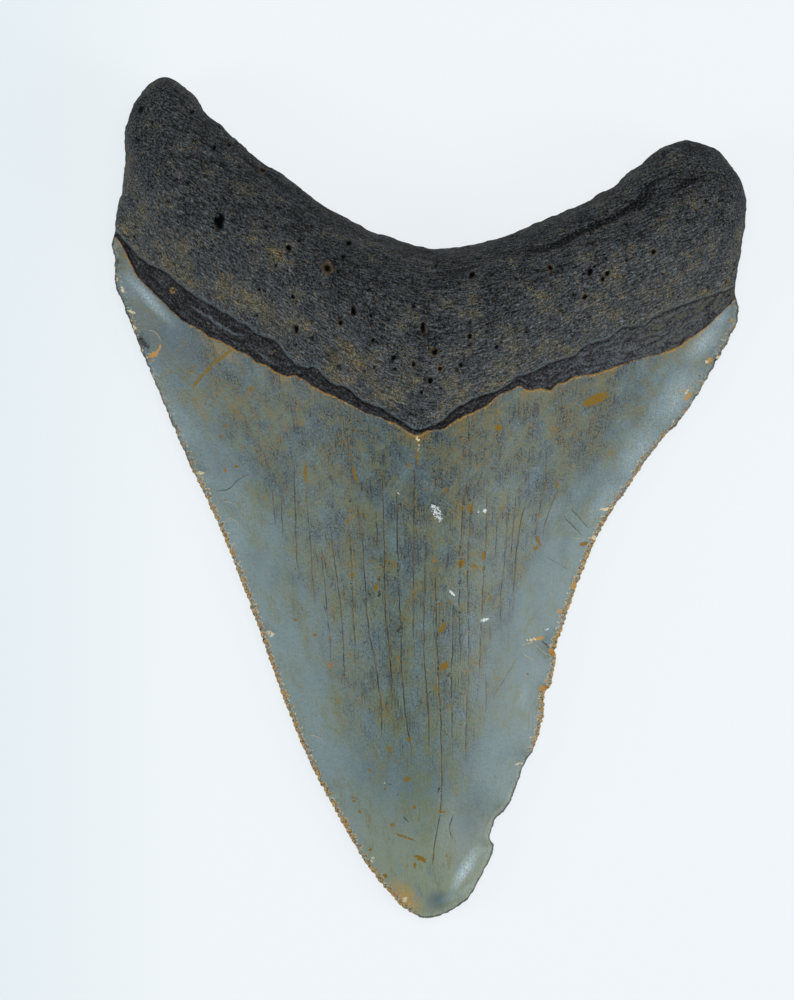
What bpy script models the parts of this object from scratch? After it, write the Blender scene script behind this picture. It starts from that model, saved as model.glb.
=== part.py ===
"""A fossil megalodon tooth, lying on its flat labial face with the tip towards -Y.

Root, dental band and serrated crown grew as one piece, so the tooth is one closed solid. Sizes and
places are in millimetres here, and the mesh is made in metres. X runs across the tooth, Y from the
tip to the root lobes, and Z up out of the lingual face, which is the bulging one.
"""

import math

import bmesh
import bpy
import numpy as np
from mathutils import Vector, noise
from mathutils.geometry import delaunay_2d_cdt, interpolate_bezier

MM = 0.001

# Thicknesses, measured up from the surface that the tooth lies on
ROOT_THICKNESS = 24.5  # at the swelling in the middle of the root
LOBE_THICKNESS = 13.0  # towards the ends of the two lobes
EDGE_HEIGHT = 2.6  # the cutting edge above the surface
EDGE_HALF_THICKNESS = 0.22  # half of the blunt rim between the two faces
MARGIN_SHARE = 0.40  # height of the root's widest line, as a share of the root's thickness there
RIM_BLEND = 3.5  # the rim passes from one height to the other over twice this length

# The lingual face of the crown rises by this times the distance from the edge to this power
CROWN_RISE = 0.98
CROWN_BULGE = 0.88
FLANK_DEPTH = 0.9  # the slight hollow that runs along behind a cutting edge
FLANK_REACH = 2.6

# The root: its swelling, the rounding of its margin, and its lumps
SWELLING_CENTRE = (-1.0, 22.0)
SWELLING_REACH = (30.0, 26.0)
MARGIN_ROUND_TOP = 9.0
MARGIN_ROUND_UNDER = 6.0
ROOT_BLEND = 14.0  # distance over which the root leaves the crown's slope and takes its own
LUMP_HEIGHT = 0.45
LUMP_SIZE = 9.0
LUMP_ROUGHNESS = 0.8
LUMP_OCTAVES = 3

# Steps between root, band and enamel
LEDGE_STEP = 0.9
BAND_DEPTH = 0.45
LABIAL_STEP = 0.35
STEP_HALF_WIDTH = 0.3

# The labial face is nearly flat, and clears the surface at the edges, the tip and between the lobes
LABIAL_REACH = 5.0
TIP_LIFT = 1.3
TIP_LIFT_START = -12.0
ARCH_LIFT = 1.4
ARCH_HALF_WIDTH = 17.0
REST_DEPTH = 0.15  # pressed this far through, so that the lowest parts are true flats

# Serrations, about twelve to a centimetre
SERRATION_PITCH = 0.84
SERRATION_DEPTH = 0.30
SERRATION_POINTS = 2
SERRATION_FADE = 7.0  # they reach their full depth this far in from the ends of a serrated stretch
WEAR_LENGTH = 9.0
WEAR_RANGE = (0.5, 1.0)

# The outline seen from above, clockwise from the left shoulder
ROOT_MARGIN = [
    (-44.6, 35.6), (-44.1, 37.6), (-44.0, 39.3), (-43.4, 42.3), (-42.7, 45.2), (-42.6, 52.1),
    (-40.9, 56.4), (-37.1, 59.1), (-33.6, 57.1), (-31.1, 53.9), (-28.7, 51.9), (-25.6, 48.8),
    (-20.4, 45.2), (-13.4, 40.2), (-7.1, 37.0), (1.0, 34.9), (8.3, 36.1), (18.6, 40.0),
    (25.6, 43.6), (29.7, 46.9), (33.7, 49.6), (36.5, 50.2), (41.0, 48.4), (43.9, 44.5),
    (44.5, 40.3), (43.4, 33.0), (43.0, 29.1),
]
RIGHT_CUTTING_EDGE = [
    (43.5, 26.9), (43.4, 24.6), (40.2, 18.6), (36.4, 12.2), (31.8, 6.9), (28.3, 1.8),
    (24.2, -4.6), (20.6, -13.2), (18.8, -18.5), (17.8, -21.4), (17.9, -22.8), (17.1, -26.6),
    (16.4, -27.4), (16.1, -30.8), (14.7, -35.4),
]
BROKEN_EDGE = [
    (13.6, -37.1), (12.2, -40.9), (11.1, -43.4), (9.5, -45.1), (8.6, -47.7), (9.1, -49.3),
    (7.7, -52.6), (5.6, -56.2), (3.0, -58.2),
]
LEFT_CUTTING_EDGE = [
    (-0.5, -59.1), (-3.8, -57.5), (-8.7, -51.7), (-12.0, -46.2), (-16.9, -37.1), (-21.3, -26.2),
    (-25.5, -14.3), (-30.1, -2.9), (-34.0, 5.3), (-37.7, 14.0), (-39.6, 18.5), (-43.1, 27.2),
    (-44.2, 30.2), (-44.3, 33.4),
]
STRETCHES = {
    "root": ROOT_MARGIN,
    "right": RIGHT_CUTTING_EDGE,
    "broken": BROKEN_EDGE,
    "left": LEFT_CUTTING_EDGE,
}
SERRATED = ("right", "left")
CROWN_EDGES = ("right", "broken", "left")

# The lines that cross the tooth from shoulder to shoulder
ROOT_LEDGE = [
    (-43.8, 36.1), (-41.2, 33.7), (-37.7, 31.8), (-31.5, 27.4), (-25.9, 23.9), (-20.3, 20.7),
    (-18.1, 18.6), (-13.6, 16.2), (-9.1, 13.4), (-4.5, 11.1), (-2.1, 9.4), (0.1, 9.8),
    (2.4, 11.1), (6.6, 13.6), (11.3, 16.7), (19.7, 19.7), (24.9, 22.0), (30.0, 24.4),
    (37.4, 27.7), (40.9, 28.8), (43.1, 29.3),
]
ENAMEL_LINE = [
    (-44.1, 35.4), (-42.6, 34.0), (-41.2, 31.6), (-38.6, 28.8), (-33.3, 24.4), (-28.3, 21.6),
    (-19.7, 17.1), (-13.6, 14.4), (-9.1, 12.0), (-4.5, 10.3), (-1.8, 8.8), (-0.3, 9.2),
    (2.1, 9.5), (7.6, 12.5), (12.3, 15.4), (16.8, 15.1), (21.0, 17.2), (26.7, 18.6),
    (34.2, 21.0), (38.6, 23.5), (41.3, 26.2), (43.3, 28.1),
]
LABIAL_ENAMEL_LINE = [
    (-44.2, 34.5), (-30.0, 24.0), (-12.0, 17.5), (0.0, 16.0), (12.0, 17.5), (28.0, 22.5),
    (43.3, 28.0),
]

# Vessel openings in the root, and flakes broken from the edges: x, y, radius, depth
ROOT_PITS = [
    (-29.1, 38.4, 0.9, 1.0), (-14.1, 32.2, 0.7, 0.8), (-19.5, 35.0, 0.5, 0.6),
    (-10.5, 26.0, 0.6, 0.7), (-18.5, 23.8, 0.5, 0.6), (-1.1, 23.8, 0.7, 0.8),
    (0.7, 20.3, 0.6, 0.7), (5.9, 31.0, 0.6, 0.7), (16.7, 32.0, 0.7, 0.8),
    (22.4, 31.5, 0.6, 0.7), (21.7, 27.9, 0.6, 0.7), (4.4, 18.4, 0.5, 0.6),
]
EDGE_FLAKES = [
    (-40.3, 21.7, 2.0, 0.9), (-43.9, 32.8, 1.7, 0.7), (-22.0, -19.0, 1.6, 0.5),
    (15.6, -20.9, 2.6, 0.6), (37.2, 14.2, 1.8, 0.5), (40.1, 19.2, 1.6, 0.4),
    (43.2, 25.6, 1.8, 0.6), (28.4, 1.0, 1.5, 0.4), (-31.2, 3.4, 1.5, 0.4),
]
# Creases worn along the lobes: start, end, half width, depth
ROOT_CREASES = [
    ((39.0, 45.2), (14.0, 33.8), 1.7, 0.80),
    ((42.0, 40.5), (31.0, 35.5), 1.4, 0.45),
    ((-27.0, 48.2), (-19.0, 42.6), 1.3, 0.45),
]

# How finely the curves and the distances are worked out
CURVE_STEPS = 12
FIELD_SPACING = 0.5
MARGIN_POWER = 6
CROWN_POWER = 3.2

# Spacing of the mesh. A ring is a row of points inside the rim: distance in, spacing along
MARGIN_SPACING = 1.6
BROKEN_SPACING = 0.9
LINE_SPACING = 1.5
LINGUAL_SPACING = 2.05
LABIAL_SPACING = 2.75
ROOT_RINGS = [(0.3, 1.7), (1.0, 1.7), (2.3, 1.8), (4.2, 1.9)]
EDGE_RINGS = [(0.9, SERRATION_PITCH), (2.1, 1.7)]
RING_GAP = 0.45
LINE_TO_RIM = 0.7
GRID_GAP = 0.72  # the grid keeps this share of its spacing from the points placed before it
PIT_SIDES = 7
PIT_WALL = 0.6  # the inner ring of a pit's points, as a share of its radius
MERGE_DISTANCE = 1e-6
SHARP_ANGLE = math.radians(38.0)

FINISHES = {
    "root_bone": ((0.035, 0.031, 0.027, 1.0), 0.62),
    "dental_band": ((0.022, 0.020, 0.020, 1.0), 0.45),
    "enamel": ((0.125, 0.160, 0.165, 1.0), 0.30),
}


def smoothstep(low, high, value):
    share = np.clip((value - low) / (high - low), 0.0, 1.0)
    return share * share * (3.0 - 2.0 * share)


def rounding(distance, radius):
    """Rises from 0 at the margin to 1 at the radius, as a quarter circle does."""
    return np.sqrt(1.0 - (1.0 - np.clip(distance / radius, 0.0, 1.0)) ** 2)


def lengths(vectors):
    return np.sqrt((vectors ** 2).sum(axis=-1))


def nearest(points, others):
    """Distance from each point to the nearest of the others."""
    return lengths(points[:, None, :] - others[None, :, :]).min(axis=1)


def spline(points, closed=False):
    """A smooth curve through the points, as one list of curve points for each span."""
    knots = [Vector(point) for point in points]
    count = len(knots)

    def knot(index):
        return knots[index % count] if closed else knots[min(max(index, 0), count - 1)]

    spans = []
    for i in range(count if closed else count - 1):
        start, end = knot(i), knot(i + 1)
        reach = (end - start).length / 3.0
        leaving = (end - knot(i - 1)).normalized() * reach
        arriving = (knot(i + 2) - start).normalized() * reach
        spans.append(interpolate_bezier(start, start + leaving, end - arriving, end, CURVE_STEPS + 1))
    return spans


def joined(spans):
    return np.array([point[:] for span in spans for point in span])


def resample(spans, spacing):
    """Evenly spaced points along joined spans, both ends kept."""
    line = joined(spans)
    run = np.concatenate([[0.0], np.cumsum(lengths(np.diff(line, axis=0)))])
    marks = np.linspace(0.0, run[-1], max(2, round(run[-1] / spacing)) + 1)
    return np.column_stack([np.interp(marks, run, line[:, axis]) for axis in (0, 1)])


def outline_spans():
    """The closed outline's spans, grouped by the stretch that each belongs to."""
    spans = spline([point for stretch in STRETCHES.values() for point in stretch], closed=True)
    grouped = {}
    first = 0
    for name, points in STRETCHES.items():
        grouped[name] = spans[first:first + len(points)]
        first += len(points)
    return grouped


def outward(points):
    """Unit normals out of the tooth, along an open stretch of the clockwise outline."""
    along = np.gradient(points, axis=0)
    along /= lengths(along)[:, None]
    return np.column_stack([-along[:, 1], along[:, 0]])


class EdgeField:
    """A smooth distance from an edge, and that edge's height carried in across the tooth.

    The lower the power, the rounder the ridge where the distances from two edges meet. Beside a
    long straight edge the distance is exact at any power.
    """

    def __init__(self, edge, heights, power):
        self.edge = edge
        self.heights = heights
        self.power = power
        self.straight = math.pi ** 0.5 * math.gamma((power - 1) / 2) / math.gamma(power / 2)

    def at(self, points):
        gaps = lengths(points[:, None, :] - self.edge[None, :, :])
        weights = np.maximum(gaps, MERGE_DISTANCE) ** -self.power
        total = weights.sum(axis=1)
        distance = (self.straight / FIELD_SPACING / total) ** (1.0 / (self.power - 1))
        return distance, (weights * self.heights).sum(axis=1) / total


def root_thickness(points):
    across = (points[:, 0] - SWELLING_CENTRE[0]) / SWELLING_REACH[0]
    along = (points[:, 1] - SWELLING_CENTRE[1]) / SWELLING_REACH[1]
    return LOBE_THICKNESS + (ROOT_THICKNESS - LOBE_THICKNESS) * np.exp(-(across ** 2 + along ** 2))


def make_fields(spans):
    """Distance fields from the whole outline and from the cutting edges alone."""
    stretches = {name: resample(found, FIELD_SPACING)[:-1] for name, found in spans.items()}
    loop = np.concatenate(list(stretches.values()))
    is_root = np.concatenate([np.full(len(points), name == "root") for name, points in stretches.items()])
    heights = np.where(is_root, MARGIN_SHARE * root_thickness(loop), EDGE_HEIGHT)
    reach = round(RIM_BLEND / FIELD_SPACING)
    window = np.hanning(2 * reach + 1)
    around = np.concatenate([heights[-reach:], heights, heights[:reach]])
    heights = np.convolve(around, window / window.sum(), mode="valid")
    whole = EdgeField(loop, heights, MARGIN_POWER)
    cutting = EdgeField(loop[~is_root], heights[~is_root], CROWN_POWER)
    return whole, cutting


def above(line, points):
    """How far each point lies above a line that crosses the tooth, measured along Y."""
    path = joined(spline(line))
    return points[:, 1] - np.interp(points[:, 0], path[:, 0], path[:, 1])


def past_step(line, points):
    return smoothstep(-STEP_HALF_WIDTH, STEP_HALF_WIDTH, above(line, points))


def hollows(points, places):
    """Depth of the round hollows at these places."""
    depth = np.zeros(len(points))
    for x, y, radius, deepest in places:
        share = lengths(points - (x, y)) / radius
        depth += deepest * np.clip(1.0 - share ** 2, 0.0, 1.0) ** 1.5
    return depth


def creases(points):
    depth = np.zeros(len(points))
    for start, end, half_width, deepest in ROOT_CREASES:
        axis = np.subtract(end, start)
        share = np.clip(((points - start) @ axis) / (axis @ axis), 0.0, 1.0)
        away = lengths(points - start - share[:, None] * axis) / half_width
        depth += deepest * np.exp(-away ** 2) * np.sqrt(np.sin(math.pi * share))
    return depth


def lumps(points):
    places = [Vector((x, y, 0.0)) / LUMP_SIZE for x, y in points]
    return LUMP_HEIGHT * np.array([noise.fractal(at, LUMP_ROUGHNESS, 2.0, LUMP_OCTAVES) for at in places])


def lingual_height(points, whole, cutting):
    """Height of the upper face: crown, band and root."""
    margin, margin_height = whole.at(points)
    margin_height += EDGE_HALF_THICKNESS
    inward, edge_height = cutting.at(points)
    edge_height += EDGE_HALF_THICKNESS
    flank = FLANK_DEPTH * (1.0 - np.exp(-inward / FLANK_REACH))
    crown = edge_height + CROWN_RISE * inward ** CROWN_BULGE - flank - hollows(points, EDGE_FLAKES)
    crown = np.maximum(crown, edge_height)
    band = crown - BAND_DEPTH * past_step(ENAMEL_LINE, points)

    swelling = smoothstep(0.0, ROOT_BLEND, above(ROOT_LEDGE, points))
    full = (1.0 - swelling) * (crown + LEDGE_STEP) + swelling * (root_thickness(points) + lumps(points))
    root = margin_height + (full - margin_height) * rounding(margin, MARGIN_ROUND_TOP)
    root -= (hollows(points, ROOT_PITS) + creases(points)) * rounding(margin, MARGIN_ROUND_UNDER)
    is_root = past_step(ROOT_LEDGE, points)
    return (1.0 - is_root) * band + is_root * root


def labial_height(points, whole, cutting):
    """Height of the under face."""
    margin, margin_height = whole.at(points)
    margin_height -= EDGE_HALF_THICKNESS
    inward, edge_height = cutting.at(points)
    edge_height -= EDGE_HALF_THICKNESS
    tip = LEFT_CUTTING_EDGE[0][1]
    lift = TIP_LIFT * np.clip((TIP_LIFT_START - points[:, 1]) / (TIP_LIFT_START - tip), 0.0, 1.0) ** 2
    crown = lift + (edge_height - lift) * np.exp(-inward / LABIAL_REACH)

    arch = ARCH_LIFT * np.exp(-((points[:, 0] - SWELLING_CENTRE[0]) / ARCH_HALF_WIDTH) ** 2)
    root = arch + margin_height * (1.0 - rounding(margin, MARGIN_ROUND_UNDER))
    swelling = smoothstep(0.0, ROOT_BLEND, above(LABIAL_ENAMEL_LINE, points))
    full = (1.0 - swelling) * (crown + LABIAL_STEP) + swelling * root
    is_root = past_step(LABIAL_ENAMEL_LINE, points)
    height = (1.0 - is_root) * crown + is_root * np.minimum(full, margin_height)
    return np.maximum(height - REST_DEPTH * np.minimum(margin, 1.0), 0.0)


def serrated_stretch(name, spans):
    """A cutting edge with its serrations, deeper in some places and worn in others."""
    step = SERRATION_PITCH / SERRATION_POINTS
    points = resample(spans, step)
    count = np.arange(len(points))
    run = count * step
    fade = smoothstep(0.0, SERRATION_FADE, np.minimum(run, run[-1] - run))
    row = float(SERRATED.index(name))
    wear = np.array([noise.noise(Vector((at / WEAR_LENGTH, row, 0.0))) for at in run])
    wear = np.interp(wear, (-0.5, 0.5), WEAR_RANGE)
    wave = -0.5 * np.cos(2.0 * math.pi * count / SERRATION_POINTS)
    return points + outward(points) * (SERRATION_DEPTH * wave * wear * fade)[:, None]


def make_rim(spans):
    """The closed rim seen from above: the outline with its serrations."""
    rim = []
    for name, found in spans.items():
        if name in SERRATED:
            rim.append(serrated_stretch(name, found)[:-1])
        else:
            rim.append(resample(found, MARGIN_SPACING if name == "root" else BROKEN_SPACING)[:-1])
    return np.concatenate(rim)


def rings(spans, loop, offsets, names):
    """Rows of points inside the rim, left out where the rim turns too tightly for them."""
    rows = []
    for offset, spacing in offsets:
        for name in names:
            points = resample(spans[name], spacing)
            moved = points - outward(points) * offset
            rows.append(moved[nearest(moved, loop) > 0.92 * offset])
    return rows


def step_rows(line, loop):
    """Two rows of points, one each side of a line across the tooth."""
    points = resample(spline(line), LINE_SPACING)
    rows = [points + (0.0, side * STEP_HALF_WIDTH) for side in (-1.0, 1.0)]
    return [row[nearest(row, loop) > LINE_TO_RIM] for row in rows]


def pit_rows():
    turn = 2.0 * math.pi * np.arange(PIT_SIDES) / PIT_SIDES
    circle = np.column_stack([np.cos(turn), np.sin(turn)])
    bowl = np.concatenate([[(0.0, 0.0)], circle * PIT_WALL, circle])
    return [bowl * radius + (x, y) for x, y, radius, _ in ROOT_PITS]


def grid(spacing, loop):
    """A grid of equal triangles over the whole plan."""
    low, high = loop.min(axis=0), loop.max(axis=0)
    rows = []
    for index, y in enumerate(np.arange(low[1], high[1], spacing * math.sin(math.radians(60.0)))):
        x = np.arange(low[0] + 0.5 * spacing * (index % 2), high[0], spacing)
        rows.append(np.column_stack([x, np.full(len(x), y)]))
    return np.concatenate(rows)


def plan_of_face(rim, lines, extra_rows, ring_rows, spacing):
    """Plan points and triangles of one face, and which points belong to the rim."""
    placed = [rim]
    edges = []
    for line in lines:
        first = sum(map(len, placed))
        edges += [(first + i, first + i + 1) for i in range(len(line) - 1)]
        placed.append(line)
    placed += extra_rows
    for row in ring_rows:
        placed.append(row[nearest(row, np.concatenate(placed[1:])) > RING_GAP])
    fill = grid(spacing, rim)
    placed.append(fill[nearest(fill, np.concatenate(placed)) > GRID_GAP * spacing])

    points = [Vector(point) for point in np.concatenate(placed)]
    inside = list(range(len(rim)))[::-1]
    result = delaunay_2d_cdt(points, edges, [inside], 0, MERGE_DISTANCE, True)
    plan, _, triangles, sources, _, faces = result
    triangles = [triangle for triangle, within in zip(triangles, faces) if within]
    on_rim = {}
    for new, found in enumerate(sources):
        on_rim.update({new: old for old in found if old < len(rim)})
    return np.array([point[:] for point in plan]), triangles, on_rim


def add_points(bm, points, heights):
    return [bm.verts.new((x, y, z)) for (x, y), z in zip(points, heights)]


def add_face(bm, rim_verts, plan, height, facing_up):
    points, triangles, on_rim = plan
    used = {corner for triangle in triangles for corner in triangle}
    own = [index for index in sorted(used) if index not in on_rim]
    verts = dict(zip(own, add_points(bm, points[own], height(points[own]))))
    verts.update({index: rim_verts[on_rim[index]] for index in used if index in on_rim})
    for triangle in triangles:
        corners = [verts[index] for index in triangle]
        bm.faces.new(corners if facing_up else corners[::-1])


def add_rim_wall(bm, high, low):
    for i in range(len(high)):
        after = (i + 1) % len(high)
        bm.faces.new((high[i], high[after], low[after]))
        bm.faces.new((high[i], low[after], low[i]))


def move_to_origin(bm):
    """Puts the middle of the underside's box at the origin, and turns millimetres into metres."""
    corners = np.array([vert.co[:] for vert in bm.verts])
    lowest, highest = corners.min(axis=0), corners.max(axis=0)
    middle = (lowest + highest) / 2.0
    bmesh.ops.translate(bm, verts=bm.verts, vec=(-middle[0], -middle[1], -lowest[2]))
    bmesh.ops.scale(bm, verts=bm.verts, vec=(MM, MM, MM))


def build_mesh():
    spans = outline_spans()
    whole, cutting = make_fields(spans)
    loop = whole.edge
    rim = make_rim(spans)

    def lingual(points):
        return lingual_height(points, whole, cutting)

    def labial(points):
        return labial_height(points, whole, cutting)

    root_rows = rings(spans, loop, ROOT_RINGS, ("root",))
    lingual_lines = step_rows(ROOT_LEDGE, loop) + step_rows(ENAMEL_LINE, loop)
    lingual_rings = rings(spans, loop, EDGE_RINGS, CROWN_EDGES) + root_rows
    labial_rings = rings(spans, loop, EDGE_RINGS[:1], CROWN_EDGES) + root_rows

    bm = bmesh.new()
    high = add_points(bm, rim, lingual(rim))
    low = add_points(bm, rim, labial(rim))
    lingual_plan = plan_of_face(rim, lingual_lines, pit_rows(), lingual_rings, LINGUAL_SPACING)
    add_face(bm, high, lingual_plan, lingual, True)
    labial_plan = plan_of_face(rim, step_rows(LABIAL_ENAMEL_LINE, loop), [], labial_rings, LABIAL_SPACING)
    add_face(bm, low, labial_plan, labial, False)
    add_rim_wall(bm, high, low)
    move_to_origin(bm)
    return bm


def make_material(name):
    colour, roughness = FINISHES[name]
    material = bpy.data.materials.new(name)
    material.use_nodes = True
    shader = material.node_tree.nodes["Principled BSDF"]
    shader.inputs["Base Color"].default_value = colour
    shader.inputs["Roughness"].default_value = roughness
    shader.inputs["Metallic"].default_value = 0.0
    material.diffuse_color = colour
    return material


def paint_faces(mesh):
    """Gives each triangle the root's, the band's or the enamel's material."""
    centres = np.array([face.center[:2] for face in mesh.polygons]) / MM
    faces_up = np.array([face.normal.z > 0.0 for face in mesh.polygons])
    above_labial = above(LABIAL_ENAMEL_LINE, centres) > 0.0
    past_enamel = np.where(faces_up, above(ENAMEL_LINE, centres) > 0.0, above_labial)
    past_ledge = np.where(faces_up, above(ROOT_LEDGE, centres) > 0.0, above_labial)
    slots = np.where(past_ledge, 0, np.where(past_enamel, 1, 2))
    mesh.polygons.foreach_set("material_index", slots.astype(np.int32))


def main():
    for obj in list(bpy.data.objects):
        bpy.data.objects.remove(obj)
    collection = bpy.data.collections.new("megalodon_tooth")
    bpy.context.scene.collection.children.link(collection)
    mesh = bpy.data.meshes.new("tooth")
    bm = build_mesh()
    bm.to_mesh(mesh)
    bm.free()
    for name in FINISHES:
        mesh.materials.append(make_material(name))
    paint_faces(mesh)
    mesh.shade_smooth()
    mesh.set_sharp_from_angle(angle=SHARP_ANGLE)
    tooth = bpy.data.objects.new("tooth", mesh)
    collection.objects.link(tooth)


main()
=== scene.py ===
import math

import bpy
import numpy as np
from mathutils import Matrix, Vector, kdtree, noise
from mathutils.geometry import delaunay_2d_cdt, interpolate_bezier


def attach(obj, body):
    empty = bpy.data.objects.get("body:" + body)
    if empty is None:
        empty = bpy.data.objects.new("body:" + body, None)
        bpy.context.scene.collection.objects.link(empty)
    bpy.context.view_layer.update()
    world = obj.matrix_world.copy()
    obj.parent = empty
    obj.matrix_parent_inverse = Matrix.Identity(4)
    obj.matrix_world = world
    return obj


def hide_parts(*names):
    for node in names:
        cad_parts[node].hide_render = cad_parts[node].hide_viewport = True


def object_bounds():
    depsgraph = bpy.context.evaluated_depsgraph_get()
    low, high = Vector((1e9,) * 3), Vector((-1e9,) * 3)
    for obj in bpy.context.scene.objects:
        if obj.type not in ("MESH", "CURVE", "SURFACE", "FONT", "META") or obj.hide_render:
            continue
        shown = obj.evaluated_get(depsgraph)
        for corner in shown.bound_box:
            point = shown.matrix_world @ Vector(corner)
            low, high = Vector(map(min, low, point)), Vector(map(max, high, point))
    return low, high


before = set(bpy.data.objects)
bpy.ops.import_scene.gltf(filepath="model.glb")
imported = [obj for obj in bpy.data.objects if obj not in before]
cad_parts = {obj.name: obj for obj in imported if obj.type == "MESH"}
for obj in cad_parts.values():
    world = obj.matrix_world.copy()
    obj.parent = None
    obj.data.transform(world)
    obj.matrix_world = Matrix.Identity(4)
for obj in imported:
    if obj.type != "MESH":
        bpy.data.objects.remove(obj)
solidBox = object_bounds()
mm = 0.001
fullTurn = 2.0 * math.pi
print("frame loaded, the solid reaches", [round(value / mm, 2) for value in solidBox[1]], "mm")

# A fossil shark tooth on its flat labial face, tip towards -Y, in the same form as the solid.
# Lengths are in millimetres, and the mesh is made in metres
form = {
    "rootThickness": 24.5,
    "lobeThickness": 13.0,
    "edgeHeight": 2.6,  # the cutting edge above the surface it lies on
    "edgeHalfThickness": 0.22,
    "marginShare": 0.40,  # height of the root's widest line, as a share of its thickness
    "rimBlend": 3.5,
    "crownRise": 0.98,
    "crownBulge": 0.88,
    "flankDepth": 0.9,  # the hollow behind the cutting edges
    "flankReach": 2.6,
    "swellingCentre": (-1.0, 22.0),
    "swellingReach": (30.0, 26.0),
    "marginRoundTop": 9.0,
    "marginRoundUnder": 6.0,
    "rootBlend": 14.0,
    "lumpHeight": 0.45,
    "lumpSize": 9.0,
    "ledgeStep": 0.9,
    "bandDepth": 0.45,
    "labialStep": 0.35,
    "stepHalfWidth": 0.13,
    "labialReach": 5.0,
    "tipLift": 1.3,
    "tipLiftStart": -12.0,
    "archLift": 1.4,
    "archHalfWidth": 17.0,
    "restDepth": 0.15,
    "leastEdge": 0.15,  # how far a flake may sink the enamel below its edge
    "rimSwell": 0.10,
    "crackSink": 0.04,
}

serrations = {
    "pitch": 0.84,  # about twelve to a centimetre
    "depth": 0.065,
    "reach": 1.35,  # how far in the furrows between them run
    "furrow": 0.10,
    "fade": 5.0,
    "wearLength": 9.0,
    "wearRange": (0.40, 1.0),
    "smoothAbove": (-10.0, 12.0),  # towards the shoulders they lose this share of their height
    "smoothShare": 0.55,
    "chipLength": 0.9,
    "chipShare": 0.9,
    "edgeWear": 0.7,
    "uneven": 0.30,  # how far the beads stray from their pitch, and over what length
    "unevenLength": 1.9,
    "stain": {  # how orange they are, by the height on the picture
        "left": [(-59, 1.0), (-9, 1.0), (-2, 0.75), (7, 0.40), (20, 0.22), (36, 0.10)],
        "right": [(-36, 1.0), (-9, 1.0), (0, 0.55), (8, 0.35), (28, 0.30)],
    },
}

rootRelief = {
    "Fibre Depth": 0.30, "Fibre Length": 1.6, "Fibre Width": 0.55,
    "Lump Depth": 0.40, "Lump Size": 4.2, "Margin Bumps": 1.2,
    "Pore Spacing": 2.6, "Pore Radius": 0.30, "Pore Depth": 0.35, "Seed": 7,
}

# The outline from above, clockwise from the left shoulder
rootMargin = [
    (-44.6, 35.6), (-44.1, 37.6), (-44.0, 39.3), (-43.4, 42.3), (-42.7, 45.2), (-42.6, 52.1),
    (-40.9, 56.4), (-37.1, 59.1), (-33.6, 57.1), (-31.1, 53.9), (-28.7, 51.9), (-25.6, 48.8),
    (-20.4, 45.2), (-13.4, 40.2), (-7.1, 37.0), (1.0, 34.9), (8.3, 36.1), (18.6, 40.0),
    (25.6, 43.6), (29.7, 46.9), (33.7, 49.6), (36.5, 50.2), (41.0, 48.4), (43.9, 44.5),
    (44.5, 40.3), (43.7, 33.0), (43.0, 29.1),
]
rightCuttingEdge = [
    (43.5, 26.9), (43.4, 24.6), (40.2, 18.6), (36.4, 12.2), (31.8, 6.9), (28.3, 1.8),
    (24.2, -4.6), (20.6, -13.2), (18.8, -18.5), (17.8, -21.4), (17.9, -22.8), (17.1, -26.6),
    (16.4, -27.4), (16.1, -30.8), (14.7, -35.4),
]
brokenEdge = [
    (13.6, -37.1), (12.2, -40.9), (11.1, -43.4), (9.5, -45.1), (8.6, -47.7), (9.1, -49.3),
    (7.7, -52.6), (5.6, -56.2), (3.0, -58.2),
]
leftCuttingEdge = [
    (-0.5, -59.1), (-3.8, -57.5), (-8.7, -51.7), (-12.0, -46.2), (-16.9, -37.1), (-21.3, -26.2),
    (-25.5, -14.3), (-30.1, -2.9), (-34.0, 5.3), (-37.7, 14.0), (-39.6, 18.5), (-43.1, 27.2),
    (-44.2, 30.2), (-44.3, 33.4),
]
stretches = {
    "root": rootMargin, "right": rightCuttingEdge, "broken": brokenEdge, "left": leftCuttingEdge,
}

# Lines that cross it from shoulder to shoulder
rootLedge = [
    (-44.7, 37.9), (-43.5, 36.9), (-42.0, 35.2), (-40.2, 33.4), (-38.3, 32.2), (-37.0, 31.6),
    (-35.3, 30.1), (-33.8, 29.0), (-31.9, 27.7), (-29.9, 26.6), (-28.2, 25.6), (-26.7, 24.5),
    (-25.4, 24.0), (-24.2, 23.0), (-22.6, 22.3), (-21.1, 21.5), (-20.1, 20.2), (-18.6, 18.7),
    (-17.5, 18.2), (-16.0, 18.1), (-14.7, 17.0), (-13.2, 15.8), (-11.8, 15.5), (-9.1, 13.4),
    (-6.6, 12.4), (-4.5, 11.1), (-2.1, 9.5), (-0.6, 9.7), (1.6, 10.6), (3.1, 12.0), (5.4, 13.4),
    (7.4, 14.3), (9.5, 14.9), (11.2, 16.0), (11.9, 16.8), (14.4, 17.5), (16.2, 18.6), (18.2, 19.3),
    (20.2, 19.8), (21.7, 21.2), (23.7, 21.8), (24.9, 22.1), (26.6, 23.6), (30.1, 24.1), (31.2, 25.0),
    (33.3, 26.2), (36.5, 27.3), (40.8, 28.8), (43.4, 29.8),
]
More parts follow.
